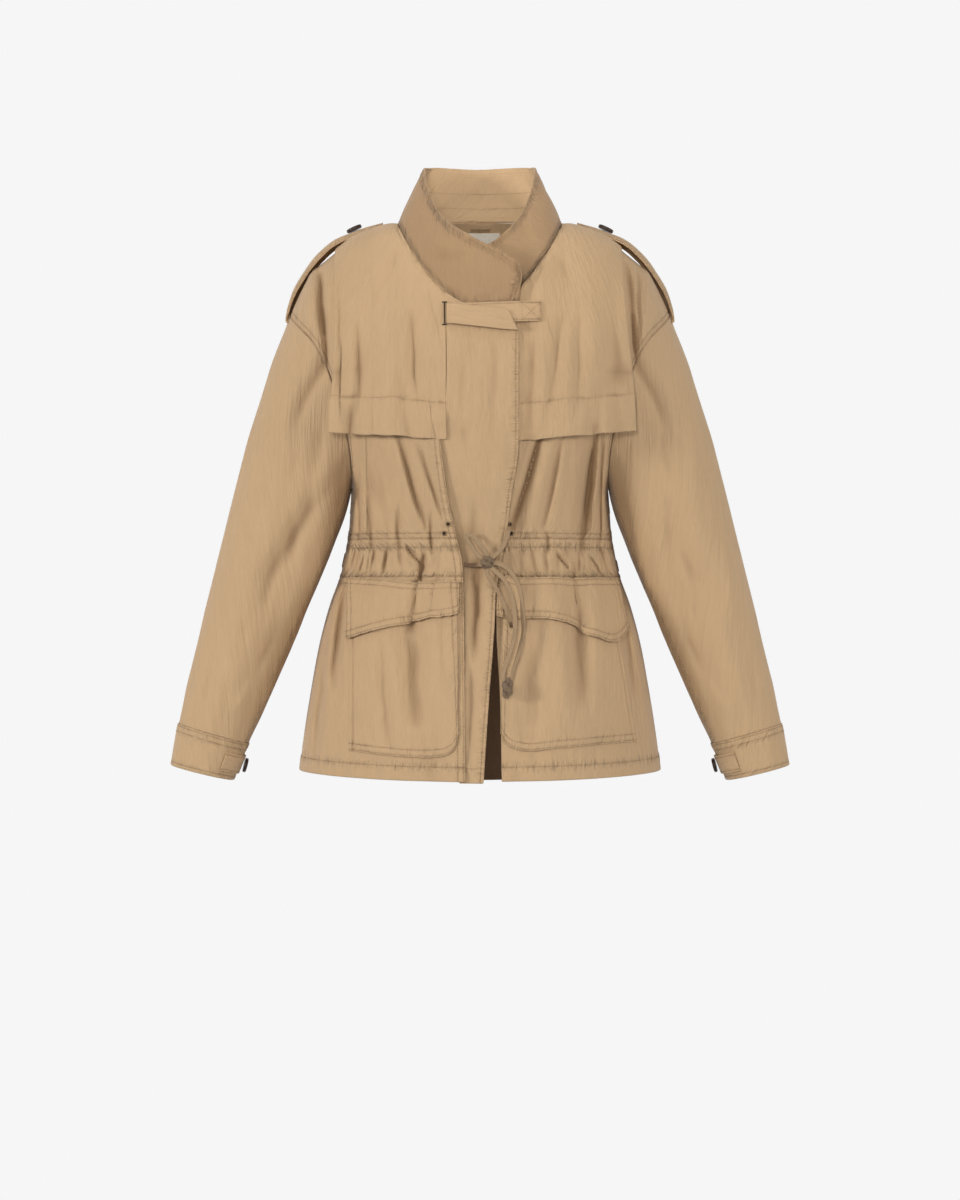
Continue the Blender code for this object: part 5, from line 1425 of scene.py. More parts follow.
def latch_path():
    """The strap's route in x, distance out and z, and how far each point is from its end."""
    lower = [(r.x, r.out, r.z) for r in LATCH_LOWER]
    upper = [(r.x, r.out, r.z) for r in LATCH_UPPER]
    fold = []
    for angle in [math.pi * k / 6 for k in range(1, 6)]:
        x = LATCH_FOLD_X - LATCH_FOLD * math.sin(angle)
        fold.append((x, LATCH_FOLD_OUT - LATCH_FOLD * math.cos(angle), LATCH_FOLD_Z))
    path = np.array(lower + fold + upper)
    run = run_along(path)
    round_fold = np.linspace(run[len(lower) - 1], run[len(lower) + 6], 16)
    places = np.unique(np.concatenate([np.arange(0, run[-1], 0.0016), round_fold, run[-1:]]))
    return curved(run, path, places), run[-1] - places


def stitch_latch_box():
    """The square of stitches and its two diagonals that hold the latch to the left flap."""
    share = np.linspace(0, 1, 9)
    for order in ((0, 1, 2, 3, 0), (0, 2), (1, 3)):
        for start, end in zip(order[:-1], order[1:]):
            x, z = LATCH_BOX[start]
            end_x, end_z = LATCH_BOX[end]
            line = front_point(x + (end_x - x) * share, z + (end_z - z) * share, LATCH_BOX_OUT)
            add_stitches("collar", line)


def build_latch():
    """Throat latch: a strap sewn to the left flap that folds back over its bar at the right."""
    path, left = latch_path()
    across = lines(2 * LATCH_HALF, 0.0016, 0.004, 0.004) * 2 - 1
    x = path[:, 0] - LATCH_SLANT * ease(0.014, 0.0, left) * across[:, None]
    z = path[:, 2] + LATCH_HALF * across[:, None]
    grid = np.stack([x, front_y(x, z) - path[:, 1], z], axis=2)
    grid = grid + cloth_normals(grid, False, FRONT_CORE) * STRAP_CLOTH / 2
    cloth("throat_latch", grid, STRAP_CLOTH, LATCH_SEAMS, core=FRONT_CORE, group="collar", turn_uv=True)
    stitch_latch_box()


def tube_mesh(name, rings, flipped=False):
    """A tube through rings of points, closed by a flat face at each end."""
    count, sides = rings.shape[:2]
    index = np.arange(count * sides).reshape(count, sides)
    following = np.roll(index, -1, axis=1)
    if flipped:
        faces = np.stack([index[:-1], index[1:], following[1:], following[:-1]], axis=-1)
        ends = [index[0], index[-1][::-1]]
    else:
        faces = np.stack([index[:-1], following[:-1], following[1:], index[1:]], axis=-1)
        ends = [index[0][::-1], index[-1]]
    faces = faces.reshape(-1, 4).tolist() + [end.tolist() for end in ends]
    mesh = bpy.data.meshes.new(name)
    mesh.from_pydata(rings.reshape(-1, 3).tolist(), [], faces)
    for face in mesh.polygons:
        face.use_smooth = len(face.vertices) == 4
    return mesh


def turned_mesh(name, outline, sides, centre, way, dents=()):
    """A solid of revolution with optional dents in its top, set square to the way it faces.

    The outline is a row of heights and radii; a dent is its place, its reach and its depth.
    """
    way = unit(np.asarray(way, float))
    helper = np.array([0.0, 1.0, 0.0]) if abs(way[1]) < 0.9 else np.array([1.0, 0.0, 0.0])
    a = unit(np.cross(way, helper))
    b = np.cross(way, a)
    angle = np.linspace(0, 2 * math.pi, sides, endpoint=False)
    widest = int(np.argmax([radius for _, radius in outline]))
    rings = []
    for count, (height, radius) in enumerate(outline):
        u = radius * np.cos(angle)
        v = radius * np.sin(angle)
        rise = np.full(sides, height)
        for dent_u, dent_v, reach, deep in dents if count > widest else ():
            rise = rise - deep * np.exp(-(((u - dent_u) ** 2 + (v - dent_v) ** 2) / reach ** 2) ** 2)
        rings.append(centre + u[:, None] * a + v[:, None] * b + rise[:, None] * way)
    return tube_mesh(name, np.array(rings))


def build_button(name, centre, way, radius, thick):
    """A button with a rounded rim, a sunken middle and four thread holes."""
    shape = list(BUTTON_RIM) + [(BUTTON_WELL, r) for r in np.linspace(0.68, 0.02, 20)]
    outline = [(height * thick, reach * radius) for height, reach in shape]
    apart = radius * 0.24
    dents = [(apart * i, apart * j, radius * 0.115, thick * 0.4) for i in (-1, 1) for j in (-1, 1)]
    mesh = turned_mesh(name, outline, 40, centre, way, dents)
    put(name + "_disc", mesh, made["button"], (name,))


def build_buttons():
    tilt_x, tilt_y, tilt_z = EPAULETTE_BUTTON_WAY
    for side, sign in SIDES:
        centre = np.array([sign * EPAULETTE_BUTTON.x, RIDGE_Y, EPAULETTE_BUTTON.z])
        way = (sign * tilt_x, tilt_y, tilt_z)
        build_button("epaulette_button_" + side, centre, way, 0.0095, 0.004)
        point, away = cuff_point(CUFF_BUTTON_TURN, TAB_MID, TAB_PROUD + 0.0018)
        mirror = (sign, 1, 1)
        build_button("cuff_button_" + side, point[0] * mirror, away[0] * mirror, 0.0085, 0.0036)


def build_eyelets():
    """Metal rings of the casing, square to the cloth, each with its hole filled by a near-black painted
    shadow.
    """
    step = 0.004
    for name, spot in EYELETS:
        out = right_out if spot.x < 0 else left_out
        centre = front_point(spot.x, spot.z, float(out(spot.x, spot.z)) + 0.0012)
        across = float(front_y(spot.x + step, spot.z) - front_y(spot.x - step, spot.z)) / (2 * step)
        upwards = float(front_y(spot.x, spot.z + step) - front_y(spot.x, spot.z - step)) / (2 * step)
        mesh = turned_mesh(name, EYELET_OUTLINE, 28, centre, (across, -1.0, upwards))
        mesh.materials.append(made["eyelet"])
        mesh.materials.append(made["hole"])
        # the faces in the middle of the hole and the two end caps get the near-black painted shadow
        for face in mesh.polygons:
            if np.linalg.norm(np.array(face.center) - centre) < EYELET_HOLE or len(face.vertices) > 4:
                face.material_index = 1
        put(name + "_ring", mesh, made["eyelet"], (name,))


def build_trim():
    """The plain label and the hanger loop inside the back neck, and the dark thread bar."""
    for name, kind in (("neck_label", "label"), ("hanger_loop", "cotton"), ("latch_bar", "thread")):
        node = bpy.data.objects[name]
        node.data.materials.clear()
        node.data.materials.append(made[kind])


# ---- drawstring ----

def through(points, step):
    """Evenly spaced points along a smooth curve through the given ones, and its length."""
    points = np.asarray(points)
    run = run_along(points)
    fine = np.linspace(0, run[-1], 600)
    curve = curved(run, points, fine)
    length = run_along(curve)
    places = np.linspace(0, length[-1], max(4, int(length[-1] / step)))
    return straight(length, curve, places), length[-1]


def tape_frame(path, run, twist):
    """Ways across and out from a tape along its path, facing the front and turning a little."""
    along = unit(np.gradient(path, axis=0))
    across = unit(np.cross(along, np.array([0.0, -1.0, 0.0])))
    for _ in range(6):
        across[1:-1] = unit(across[:-2] + across[1:-1] * 2 + across[2:])
    out = unit(np.cross(across, along))
    turn = twist * noise(run / 0.022, 0.5, 31)
    cos, sin = np.cos(turn)[:, None], np.sin(turn)[:, None]
    return across * cos + out * sin, out * cos - across * sin


def tape_mesh(name, path, wide, thick, twist):
    """A flat tape with rounded edges and a shallow dip along its middle."""
    run = run_along(path)
    across, out = tape_frame(path, run, twist)
    angle = np.linspace(0, 2 * math.pi, TAPE_SIDES, endpoint=False)
    u = np.sign(np.cos(angle)) * np.abs(np.cos(angle)) ** 0.55 * wide / 2
    v = np.sign(np.sin(angle)) * np.abs(np.sin(angle)) ** 0.8 * thick / 2
    curl = 1 + 0.16 * noise(run / 0.01, 3.3, 32)
    rings = path[:, None] + across[:, None] * (u[None, :, None] * curl[:, None, None])
    rings = rings + out[:, None] * v[None, :, None]
    dip = -0.0006 * (1 - np.abs(u / (wide / 2)) ** 2) * (0.6 + 0.4 * noise(run / 0.008, 7.7, 33)[:, None])
    mesh = tube_mesh(name, rings + out[:, None] * dip[..., None])
    around = np.broadcast_to(angle / (2 * math.pi) * wide * 2, rings.shape[:2])
    down = np.broadcast_to(run[:, None], rings.shape[:2])
    uv = np.stack([around, down], axis=-1).reshape(-1, 2)
    corner = np.zeros(len(mesh.loops), dtype=np.int32)
    mesh.loops.foreach_get("vertex_index", corner)
    layer = mesh.uv_layers.new(name="UVMap")
    layer.data.foreach_set("uv", uv[corner].astype(np.float32).ravel())
    volume = sum(face.center.dot(face.normal) * face.area for face in mesh.polygons)
    if volume < 0:
        mesh.flip_normals()
    return mesh


def build_knot(name, centre, radii, seed, nodes):
    """A pulled knot of tape: a closed lump with the turns of the tape standing out of it."""
    polar = np.linspace(0.02, math.pi - 0.02, 36)[:, None]
    turn = np.linspace(0, 2 * math.pi, 48, endpoint=False)[None, :]
    x = np.sin(polar) * np.cos(turn)
    y = np.sin(polar) * np.sin(turn)
    z = np.cos(polar) + 0 * turn
    ball = np.stack([x, y, z], axis=-1)
    wraps = np.sin(5.5 * (z + 0.55 * x) + seed) + 0.6 * np.sin(6.5 * (x - 0.5 * z) + 2 * seed)
    crumple = noise(2.2 * turn / math.pi * 3, polar * 2.5, seed)
    rise = 1 + 0.1 * wraps + 0.07 * crumple * np.sin(polar)
    mesh = tube_mesh(name, np.asarray(centre) + np.array(radii) * ball * rise[..., None], flipped=True)
    mesh.uv_layers.new(name="UVMap")
    # painted shade between the turns of the knot
    lay_attribute(mesh, "hollow", np.clip(-0.9 * wraps - 0.5 * crumple, 0, 1))
    mesh.shade_smooth()
    return put(name, mesh, made["tape"], nodes)


def steps(route):
    return [front_point(p.x, p.z, p.out) for p in route]


def build_tape(name, route, far_end, nodes):
    """One free tape of the drawstring; a bare one is darker at its two ends, the first of them painted
    shade.
    """
    path, length = through(route, 0.0024)
    mesh = tape_mesh(name, path, look().tape_width, look().tape_thick, 0.8)
    if far_end == "bare":
        along = np.linspace(0, length, len(path))
        # painted shade along the first part, where the tape comes out from under the right front, and a
        # darker tip at its far end
        dark_ends = np.maximum(0.85 * ease(0.021, 0.012, along), ease(length - 0.007, length - 0.004, along))
        lay_attribute(mesh, "inside", np.repeat(dark_ends, TAPE_SIDES))
    piece = put(name, mesh, made["tape"], nodes)


def build_drawstring():
    bow = front_point(BOW.x, BOW.z, BOW_OUT)
    end = front_point(END_KNOT.x, END_KNOT.z, END_OUT)
    knots = [build_knot("bow_knot_wrap", bow, BOW_RADII, 3, ("bow_knot",)),
             build_knot("end_knot_wrap", end, END_RADII, 8, ("end_knot",))]
    route = steps(RIGHT_RUN) + [bow] + steps(LOOP) + [bow] + steps(SHORT_END)
    nodes = ("drawstring_right_run", "drawstring_loop", "drawstring_short_end")
    build_tape("drawstring_right_tape", route, "bare", nodes)
    route = steps(LEFT_RUN) + [bow] + steps(OUTER) + [end] + steps(INNER)[::-1] + [bow]
    nodes = ("drawstring_left_run", "drawstring_outer_strand", "drawstring_inner_strand")
    build_tape("drawstring_left_tape", route, "knot", nodes)


# ---- stitching ----

STITCH_SEGMENTS = 5
STITCH_RINGS = 3
STITCH_SHORTEST = 0.85
STITCH_LONGEST = 1.15
STITCH_SEED = 7


def stitch_tree(material):
    """Geometry Nodes: small rounded stitches set at an even pitch along the seam lines."""
    tree = bpy.data.node_groups.new("stitches", "GeometryNodeTree")
    face = tree.interface
    face.new_socket("Geometry", in_out="INPUT", socket_type="NodeSocketGeometry")
    for name in ("Pitch", "Length", "Width"):
        face.new_socket(name, in_out="INPUT", socket_type="NodeSocketFloat")
    face.new_socket("Geometry", in_out="OUTPUT", socket_type="NodeSocketGeometry")
    add = tree.nodes.new
    source = add("NodeGroupInput")
    to_curve = add("GeometryNodeMeshToCurve")
    to_points = add("GeometryNodeCurveToPoints")
    to_points.mode = "LENGTH"
    ball = add("GeometryNodeMeshUVSphere")
    ball.inputs["Segments"].default_value = STITCH_SEGMENTS
    ball.inputs["Rings"].default_value = STITCH_RINGS
    ball.inputs["Radius"].default_value = 0.5
    scale = add("ShaderNodeCombineXYZ")
    vary = add("FunctionNodeRandomValue")
    vary.data_type = "FLOAT"
    vary.inputs[2].default_value = STITCH_SHORTEST
    vary.inputs[3].default_value = STITCH_LONGEST
    vary.inputs["Seed"].default_value = STITCH_SEED
    longer = add("ShaderNodeMath")
    longer.operation = "MULTIPLY"
    spread = add("GeometryNodeInstanceOnPoints")
    real = add("GeometryNodeRealizeInstances")
    coat = add("GeometryNodeSetMaterial")
    coat.inputs["Material"].default_value = material
    target = add("NodeGroupOutput")
    for giver, output, taker, socket in (
        (source, "Geometry", to_curve, "Mesh"), (to_curve, "Curve", to_points, "Curve"),
        (source, "Pitch", to_points, "Length"), (to_points, "Points", spread, "Points"),
        (to_points, "Rotation", spread, "Rotation"), (ball, "Mesh", spread, "Instance"),
        (source, "Width", scale, "X"), (source, "Width", scale, "Y"), (source, "Length", longer, 0),
        (vary, 1, longer, 1), (longer, "Value", scale, "Z"), (scale, "Vector", spread, "Scale"),
        (spread, "Instances", real, "Geometry"), (real, "Geometry", coat, "Geometry"),
        (coat, "Geometry", target, "Geometry"),
    ):
        tree.links.new(giver.outputs[output], taker.inputs[socket])
    return tree


def seam_path(name, runs):
    """An object holding the seam lines of a group as open runs of edges."""
    points = np.concatenate(runs)
    first = np.cumsum([0] + [len(run) for run in runs])
    ends = zip(first[:-1], first[1:])
    edges = np.concatenate([np.stack([np.arange(a, b - 1), np.arange(a + 1, b)], axis=1) for a, b in ends])
    mesh = bpy.data.meshes.new(name)
    mesh.vertices.add(len(points))
    mesh.vertices.foreach_set("co", points.astype(np.float32).ravel())
    mesh.edges.add(len(edges))
    mesh.edges.foreach_set("vertices", edges.astype(np.int32).ravel())
    path = bpy.data.objects.new(name, mesh)
    bpy.context.scene.collection.objects.link(path)
    return path


def build_stitching():
    tree = stitch_tree(made["stitch"])
    sizes = {"Pitch": look().stitch_pitch, "Length": look().stitch_length, "Width": look().stitch_width}
    for group, runs in sorted(stitch_lines.items()):
        path = seam_path("seam_lines", runs)
        sewing = path.modifiers.new("stitches", "NODES")
        sewing.node_group = tree
        for item in tree.interface.items_tree:
            if item.item_type == "SOCKET" and item.in_out == "INPUT" and item.name in sizes:
                sewing[item.identifier] = float(sizes[item.name])
        bpy.context.view_layer.update()
        sewn_path = path.evaluated_get(bpy.context.evaluated_depsgraph_get())
        stitches = bpy.data.meshes.new_from_object(sewn_path)
        bpy.data.objects.remove(path, do_unlink=True)
        stitches.shade_smooth()
        stitches.name = "stitches_" + group
        put("stitches_" + group, stitches, made["stitch"], ())


# ---- materials ----

# noise on the flat cut: stretch across, up and through, detail, and the values read as 0 and as 1
Grain = namedtuple("Grain", "stretch detail low high")
STREAK = Grain((520, 60, 1), 3.0, 0.36, 0.66)
BROAD = Grain((130, 26, 1), 4.0, 0.34, 0.68)
BLOTCH = Grain((22, 14, 1), 4.0, 0.32, 0.7)
CRINKLE = Grain((150, 34, 1), 4.0, 0.0, 1.0)
WEAVE = Grain((1300, 620, 1), 2.0, 0.0, 1.0)
SPECK = Grain((400, 400, 400), 2.0, 0.3, 0.7)
PUCKERS = (
    ("pucker_across", Grain((150, 42, 1), 2.0, 0.3, 0.7)),
    ("pucker_up", Grain((42, 150, 1), 2.0, 0.3, 0.7)),
)
# tints laid over the cloth where an attribute of the mesh says so
STREAK_TINT = (0.96, 0.957, 0.95)
# painted shade where an attribute of the mesh says so: beside the stitch rows, in the hollows of the folds
# and on the lining; the inside tint also darkens the ends of the tape
SHADE_TINTS = (("seam", (0.72, 0.68, 0.62)), ("hollow", (0.58, 0.52, 0.46)), ("inside", (0.36, 0.29, 0.25)))
# strength and distance of each bump
CRINKLE_BUMP = (0.9, 0.0025)
PUCKER_BUMP = 0.0034
WEAVE_BUMP = (0.35, 0.0004)
# plain finishes: colour, roughness, share that the colour varies by, and metal
Finish = namedtuple("Finish", "colour rough vary metal")
# the tape is darker than the cloth as painted shade, standing in for its own shadows
TAPE_PAINTED_SHADE = 0.66
# the thread is darker than the cloth as painted shade, so the stitch rows read as the shaded lines of the
# seams
THREAD_PAINTED_SHADE = 0.6
ANTIQUE_METAL = Finish((0.24, 0.16, 0.085), 0.42, 0.2, 0.6)
# near black: painted shadow in the eyelet holes
EYELET_HOLE_SHADOW = Finish((0.01, 0.007, 0.005), 0.9, 0.0, 0.0)
WOVEN_LABEL = Finish((0.76, 0.69, 0.57), 0.8, 0.05, 0.0)
DARK_THREAD = Finish((0.035, 0.022, 0.015), 0.8, 0.3, 0.0)


def blank(name, rough, sheen=0.0):
    """A new material with its node tree and its shader."""
    material = bpy.data.materials.new(name)
    material.use_nodes = True
    shader = material.node_tree.nodes["Principled BSDF"]
    shader.inputs["Roughness"].default_value = rough
    shader.inputs["Sheen Weight"].default_value = sheen
    shader.inputs["Sheen Roughness"].default_value = 0.45
    shader.inputs["Specular IOR Level"].default_value = 0.35
    return material, material.node_tree, shader


def noise_node(tree, source, grain):
    """Noise read from the source and drawn out along it."""
    place = tree.nodes.new("ShaderNodeMapping")
    place.inputs["Scale"].default_value = grain.stretch
    texture = tree.nodes.new("ShaderNodeTexNoise")
    texture.inputs["Scale"].default_value = 1.0
    texture.inputs["Detail"].default_value = grain.detail
    texture.inputs["Roughness"].default_value = 0.55
    tree.links.new(source, place.inputs["Vector"])
    tree.links.new(place.outputs["Vector"], texture.inputs["Vector"])
    return texture.outputs["Fac"]


def ranged(tree, source, grain, low=0.0, high=1.0):
    """Noise spread out to run from low to high."""
    spread = tree.nodes.new("ShaderNodeMapRange")
    spread.inputs["From Min"].default_value = grain.low
    spread.inputs["From Max"].default_value = grain.high
    spread.inputs["To Min"].default_value = low
    spread.inputs["To Max"].default_value = high
    tree.links.new(noise_node(tree, source, grain), spread.inputs["Value"])
    return spread.outputs["Result"]


def mixed(tree, factor, low, high, blend="MIX"):
    """Mix two colours, each the output of a node or a plain colour."""
    mix = tree.nodes.new("ShaderNodeMix")
    mix.data_type = "RGBA"
    mix.blend_type = blend
    tree.links.new(factor, mix.inputs["Factor"])
    for socket, value in ((mix.inputs["A"], low), (mix.inputs["B"], high)):
        if hasattr(value, "is_linked"):
            tree.links.new(value, socket)
        else:
            socket.default_value = (*value[:3], 1.0)
    return mix.outputs["Result"]


def attribute(tree, name):
    node = tree.nodes.new("ShaderNodeAttribute")
    node.attribute_name = name
    return node.outputs["Fac"]


def maths(tree, operation, first, second):
    node = tree.nodes.new("ShaderNodeMath")
    node.operation = operation
    tree.links.new(first, node.inputs[0])
    tree.links.new(second, node.inputs[1])
    return node.outputs["Value"]


def bump(tree, height, strength, distance, under=None):
    """Bump, laid over the normal of another bump where one is given."""
    node = tree.nodes.new("ShaderNodeBump")
    node.inputs["Strength"].default_value = strength
    node.inputs["Distance"].default_value = distance
    tree.links.new(height, node.inputs["Height"])
    if under is not None:
        tree.links.new(under, node.inputs["Normal"])
    return node.outputs["Normal"]


def cotton_colour(tree, source, colour):
    """Slubs, streaks and soft blotches, with painted shade beside seams, in hollows and inside the garment.
    """
    streak = ranged(tree, source, STREAK)
    broad = ranged(tree, source, BROAD)
    blotch = ranged(tree, source, BLOTCH)
    dark = mixed(tree, blotch, colour * 0.965, colour * 0.985)
    light = mixed(tree, blotch, colour * 1.00, colour * 1.03)
    shown = mixed(tree, streak, mixed(tree, broad, dark, light), STREAK_TINT, "MULTIPLY")
    for name, tint in SHADE_TINTS:
        shown = mixed(tree, attribute(tree, name), shown, tint, "MULTIPLY")
    return shown


def cotton_normal(tree, source):
    """A fine crinkle, the puckers beside the stitching, and the weave."""
    crinkle = noise_node(tree, source, CRINKLE)
    weave = noise_node(tree, source, WEAVE)
    across, up = [maths(tree, "MULTIPLY", attribute(tree, name), ranged(tree, source, grain, -0.5, 0.5))
                  for name, grain in PUCKERS]
    ripples = maths(tree, "ADD", across, up)
    normal = bump(tree, crinkle, *CRINKLE_BUMP)
    normal = bump(tree, ripples, look().pucker, PUCKER_BUMP, normal)
    return bump(tree, weave, *WEAVE_BUMP, normal)


def cotton(name, colour):
    """Washed cotton twill, patterned on the flat cut of each panel."""
    material, tree, shader = blank(name, 0.78, 0.12)
    uv = tree.nodes.new("ShaderNodeUVMap")
    uv.uv_map = "UVMap"
    tree.links.new(cotton_colour(tree, uv.outputs["UV"], colour), shader.inputs["Base Color"])
    tree.links.new(cotton_normal(tree, uv.outputs["UV"]), shader.inputs["Normal"])
    return material


def plain(name, finish):
    """A material of one colour with a slight speckle."""
    material, tree, shader = blank(name, finish.rough)
    shader.inputs["Metallic"].default_value = finish.metal
    place = tree.nodes.new("ShaderNodeTexCoord")
    colour = np.array(finish.colour)
    speck = ranged(tree, place.outputs["Object"], SPECK)
    shown = mixed(tree, speck, colour * (1 - finish.vary), colour * (1 + finish.vary))
    tree.links.new(shown, shader.inputs["Base Color"])
    return material


def build_materials():
    cloth_colour = np.array(look().cloth_colour)
    button_colour = np.array(look().button_colour)
    made["cotton"] = cotton("cotton_cloth", cloth_colour)
    made["tape"] = cotton("cotton_tape", cloth_colour * TAPE_PAINTED_SHADE)
    made["stitch"] = plain("cotton_thread", Finish(cloth_colour * THREAD_PAINTED_SHADE, 0.7, 0.08, 0.0))
    made["button"] = plain("dark_button", Finish(button_colour, 0.35, 0.25, 0.0))
    made["eyelet"] = plain("antique_metal", ANTIQUE_METAL)
    made["hole"] = plain("eyelet_hole", EYELET_HOLE_SHADOW)
    made["label"] = plain("woven_label", WOVEN_LABEL)
    made["thread"] = plain("dark_thread", DARK_THREAD)


# ---- stage ----

CAMERA_PLACE = (0.0, -4.0, -0.454)
CAMERA_LENS = 101.69
CAMERA_SENSOR = 36.0
STAGE_HALF = 7.0
FLOOR_Z = -1.5
FLOOR_GREY = 0.3
BOUNCE_GREY = 0.5
BOUNCE_RISE = 0.001
REFLECTOR_Y = 0.1
REFLECTOR_Z = 1.2
REFLECTOR_CURVE = 1.6
REFLECTOR_TOP = 5.0
WALL_RADIUS = 7.5
WALL_LOW = -3.2
WALL_TOP = 6.5
WALL_SIDES = 64
# lights: place, point aimed at, size and spread in degrees
Lamp = namedtuple("Lamp", "name place aim size spread")
LAMPS = table(
    Lamp,
    ("key", (-3.6, -2.1, 0.25), (0.0, 0.0, -0.35), 0.9, 180.0),
    ("fill", (3.5, -2.2, 0.0), (0.0, 0.0, -0.35), 1.4, 180.0),
    ("front", (-0.5, -4.4, 0.35), (0.0, 0.0, -0.25), 0.9, 180.0),
    ("collar", (0.0, -0.95, 0.62), (0.0, 0.07, 0.015), 0.18, 26.0),
    ("back", (0.0, -0.6, 4.2), (0.0, 2.8, 0.6), 3.0, 180.0),
)


def area_light(lamp, power):
    data = bpy.data.lights.new(lamp.name + "_light", "AREA")
    data.shape = "DISK"
    data.size = lamp.size
    data.energy = power
    data.spread = math.radians(lamp.spread)
    light = bpy.data.objects.new(data.name, data)
    bpy.context.scene.collection.objects.link(light)
    light.location = lamp.place
    light.rotation_euler = (Vector(lamp.aim) - Vector(lamp.place)).to_track_quat("-Z", "Y").to_euler()


def swept(profile):
    """Points and faces of a strip swept from side to side along a profile of depths and heights."""
    points = [(x, y, z) for y, z in profile for x in (-STAGE_HALF, STAGE_HALF)]
    return points, [(2 * k, 2 * k + 1, 2 * k + 3, 2 * k + 2) for k in range(len(profile) - 1)]


def round_wall(radius, low, top, sides):
    """Points and faces of a closed round room."""
    angle = np.linspace(0, 2 * math.pi, sides, endpoint=False)
    points = [(radius * math.sin(a), radius * math.cos(a), z) for z in (low, top) for a in angle]
    faces = [(k, (k + 1) % sides, sides + (k + 1) % sides, sides + k) for k in range(sides)]
    return points, faces + [tuple(range(sides)), tuple(range(sides, 2 * sides))]


def backdrop(name, points, faces, grey, glow):
    """A pale matt surface of the studio."""
    mesh = bpy.data.meshes.new(name)
    mesh.from_pydata(points, [], faces)
    mesh.shade_smooth()
    surface = bpy.data.objects.new(name, mesh)
    bpy.context.scene.collection.objects.link(surface)
    material, _, shader = blank("pale_" + name, 0.9)
    shader.inputs["Base Color"].default_value = (grey, grey, grey, 1.0)
    shader.inputs["Specular IOR Level"].default_value = 0.0
    shader.inputs["Emission Color"].default_value = (1.0, 1.0, 1.0, 1.0)
    shader.inputs["Emission Strength"].default_value = glow
    mesh.materials.append(material)
    return surface


def build_camera():
    scene = bpy.context.scene
    data = bpy.data.cameras.new("front_camera")
    data.lens = CAMERA_LENS
    data.sensor_width = CAMERA_SENSOR
    camera = bpy.data.objects.new("front_camera", data)
    scene.collection.objects.link(camera)
    camera.location = CAMERA_PLACE
    camera.rotation_euler = (math.pi / 2, 0.0, 0.0)
    scene.camera = camera
    scene.view_settings.view_transform = "Standard"


def build_studio():
    """The floor that the camera sees and the one that light bounces off, a reflector and the wall."""
    level = swept([(-STAGE_HALF, FLOOR_Z), (REFLECTOR_Y + REFLECTOR_CURVE, FLOOR_Z)])
    floor = backdrop("floor", *level, FLOOR_GREY, look().floor_glow)
    floor.visible_diffuse = False
    bounce = backdrop("bounce", *level, BOUNCE_GREY, 0.0)
    bounce.location.z = BOUNCE_RISE
    bounce.visible_camera = False
    for surface in (floor, bounce):
        surface.visible_shadow = False
    curve = [(REFLECTOR_Z + REFLECTOR_CURVE * math.sin(a), REFLECTOR_Y - REFLECTOR_CURVE * math.cos(a))
             for a in np.linspace(0.0, math.pi / 2, 15)]
    upright = swept(curve + [(REFLECTOR_Z + REFLECTOR_CURVE, REFLECTOR_TOP)])
    reflector = backdrop("reflector", *upright, FLOOR_GREY, look().floor_glow)
    reflector.visible_camera = False
    wall = backdrop("wall", *round_wall(WALL_RADIUS, WALL_LOW, WALL_TOP, WALL_SIDES), 0.0, look().wall)
    wall.visible_diffuse = False
    wall.visible_glossy = False
    wall.visible_shadow = False


def build_lights():
    world = bpy.data.worlds.new("studio")
    world.use_nodes = True
    sky = world.node_tree.nodes["Background"]
    sky.inputs["Color"].default_value = (1.0, 1.0, 1.0, 1.0)
    sky.inputs["Strength"].default_value = look().sky
    bpy.context.scene.world = world
    for lamp in LAMPS:
        area_light(lamp, getattr(look(), lamp.name))


# ---- the add-on ----

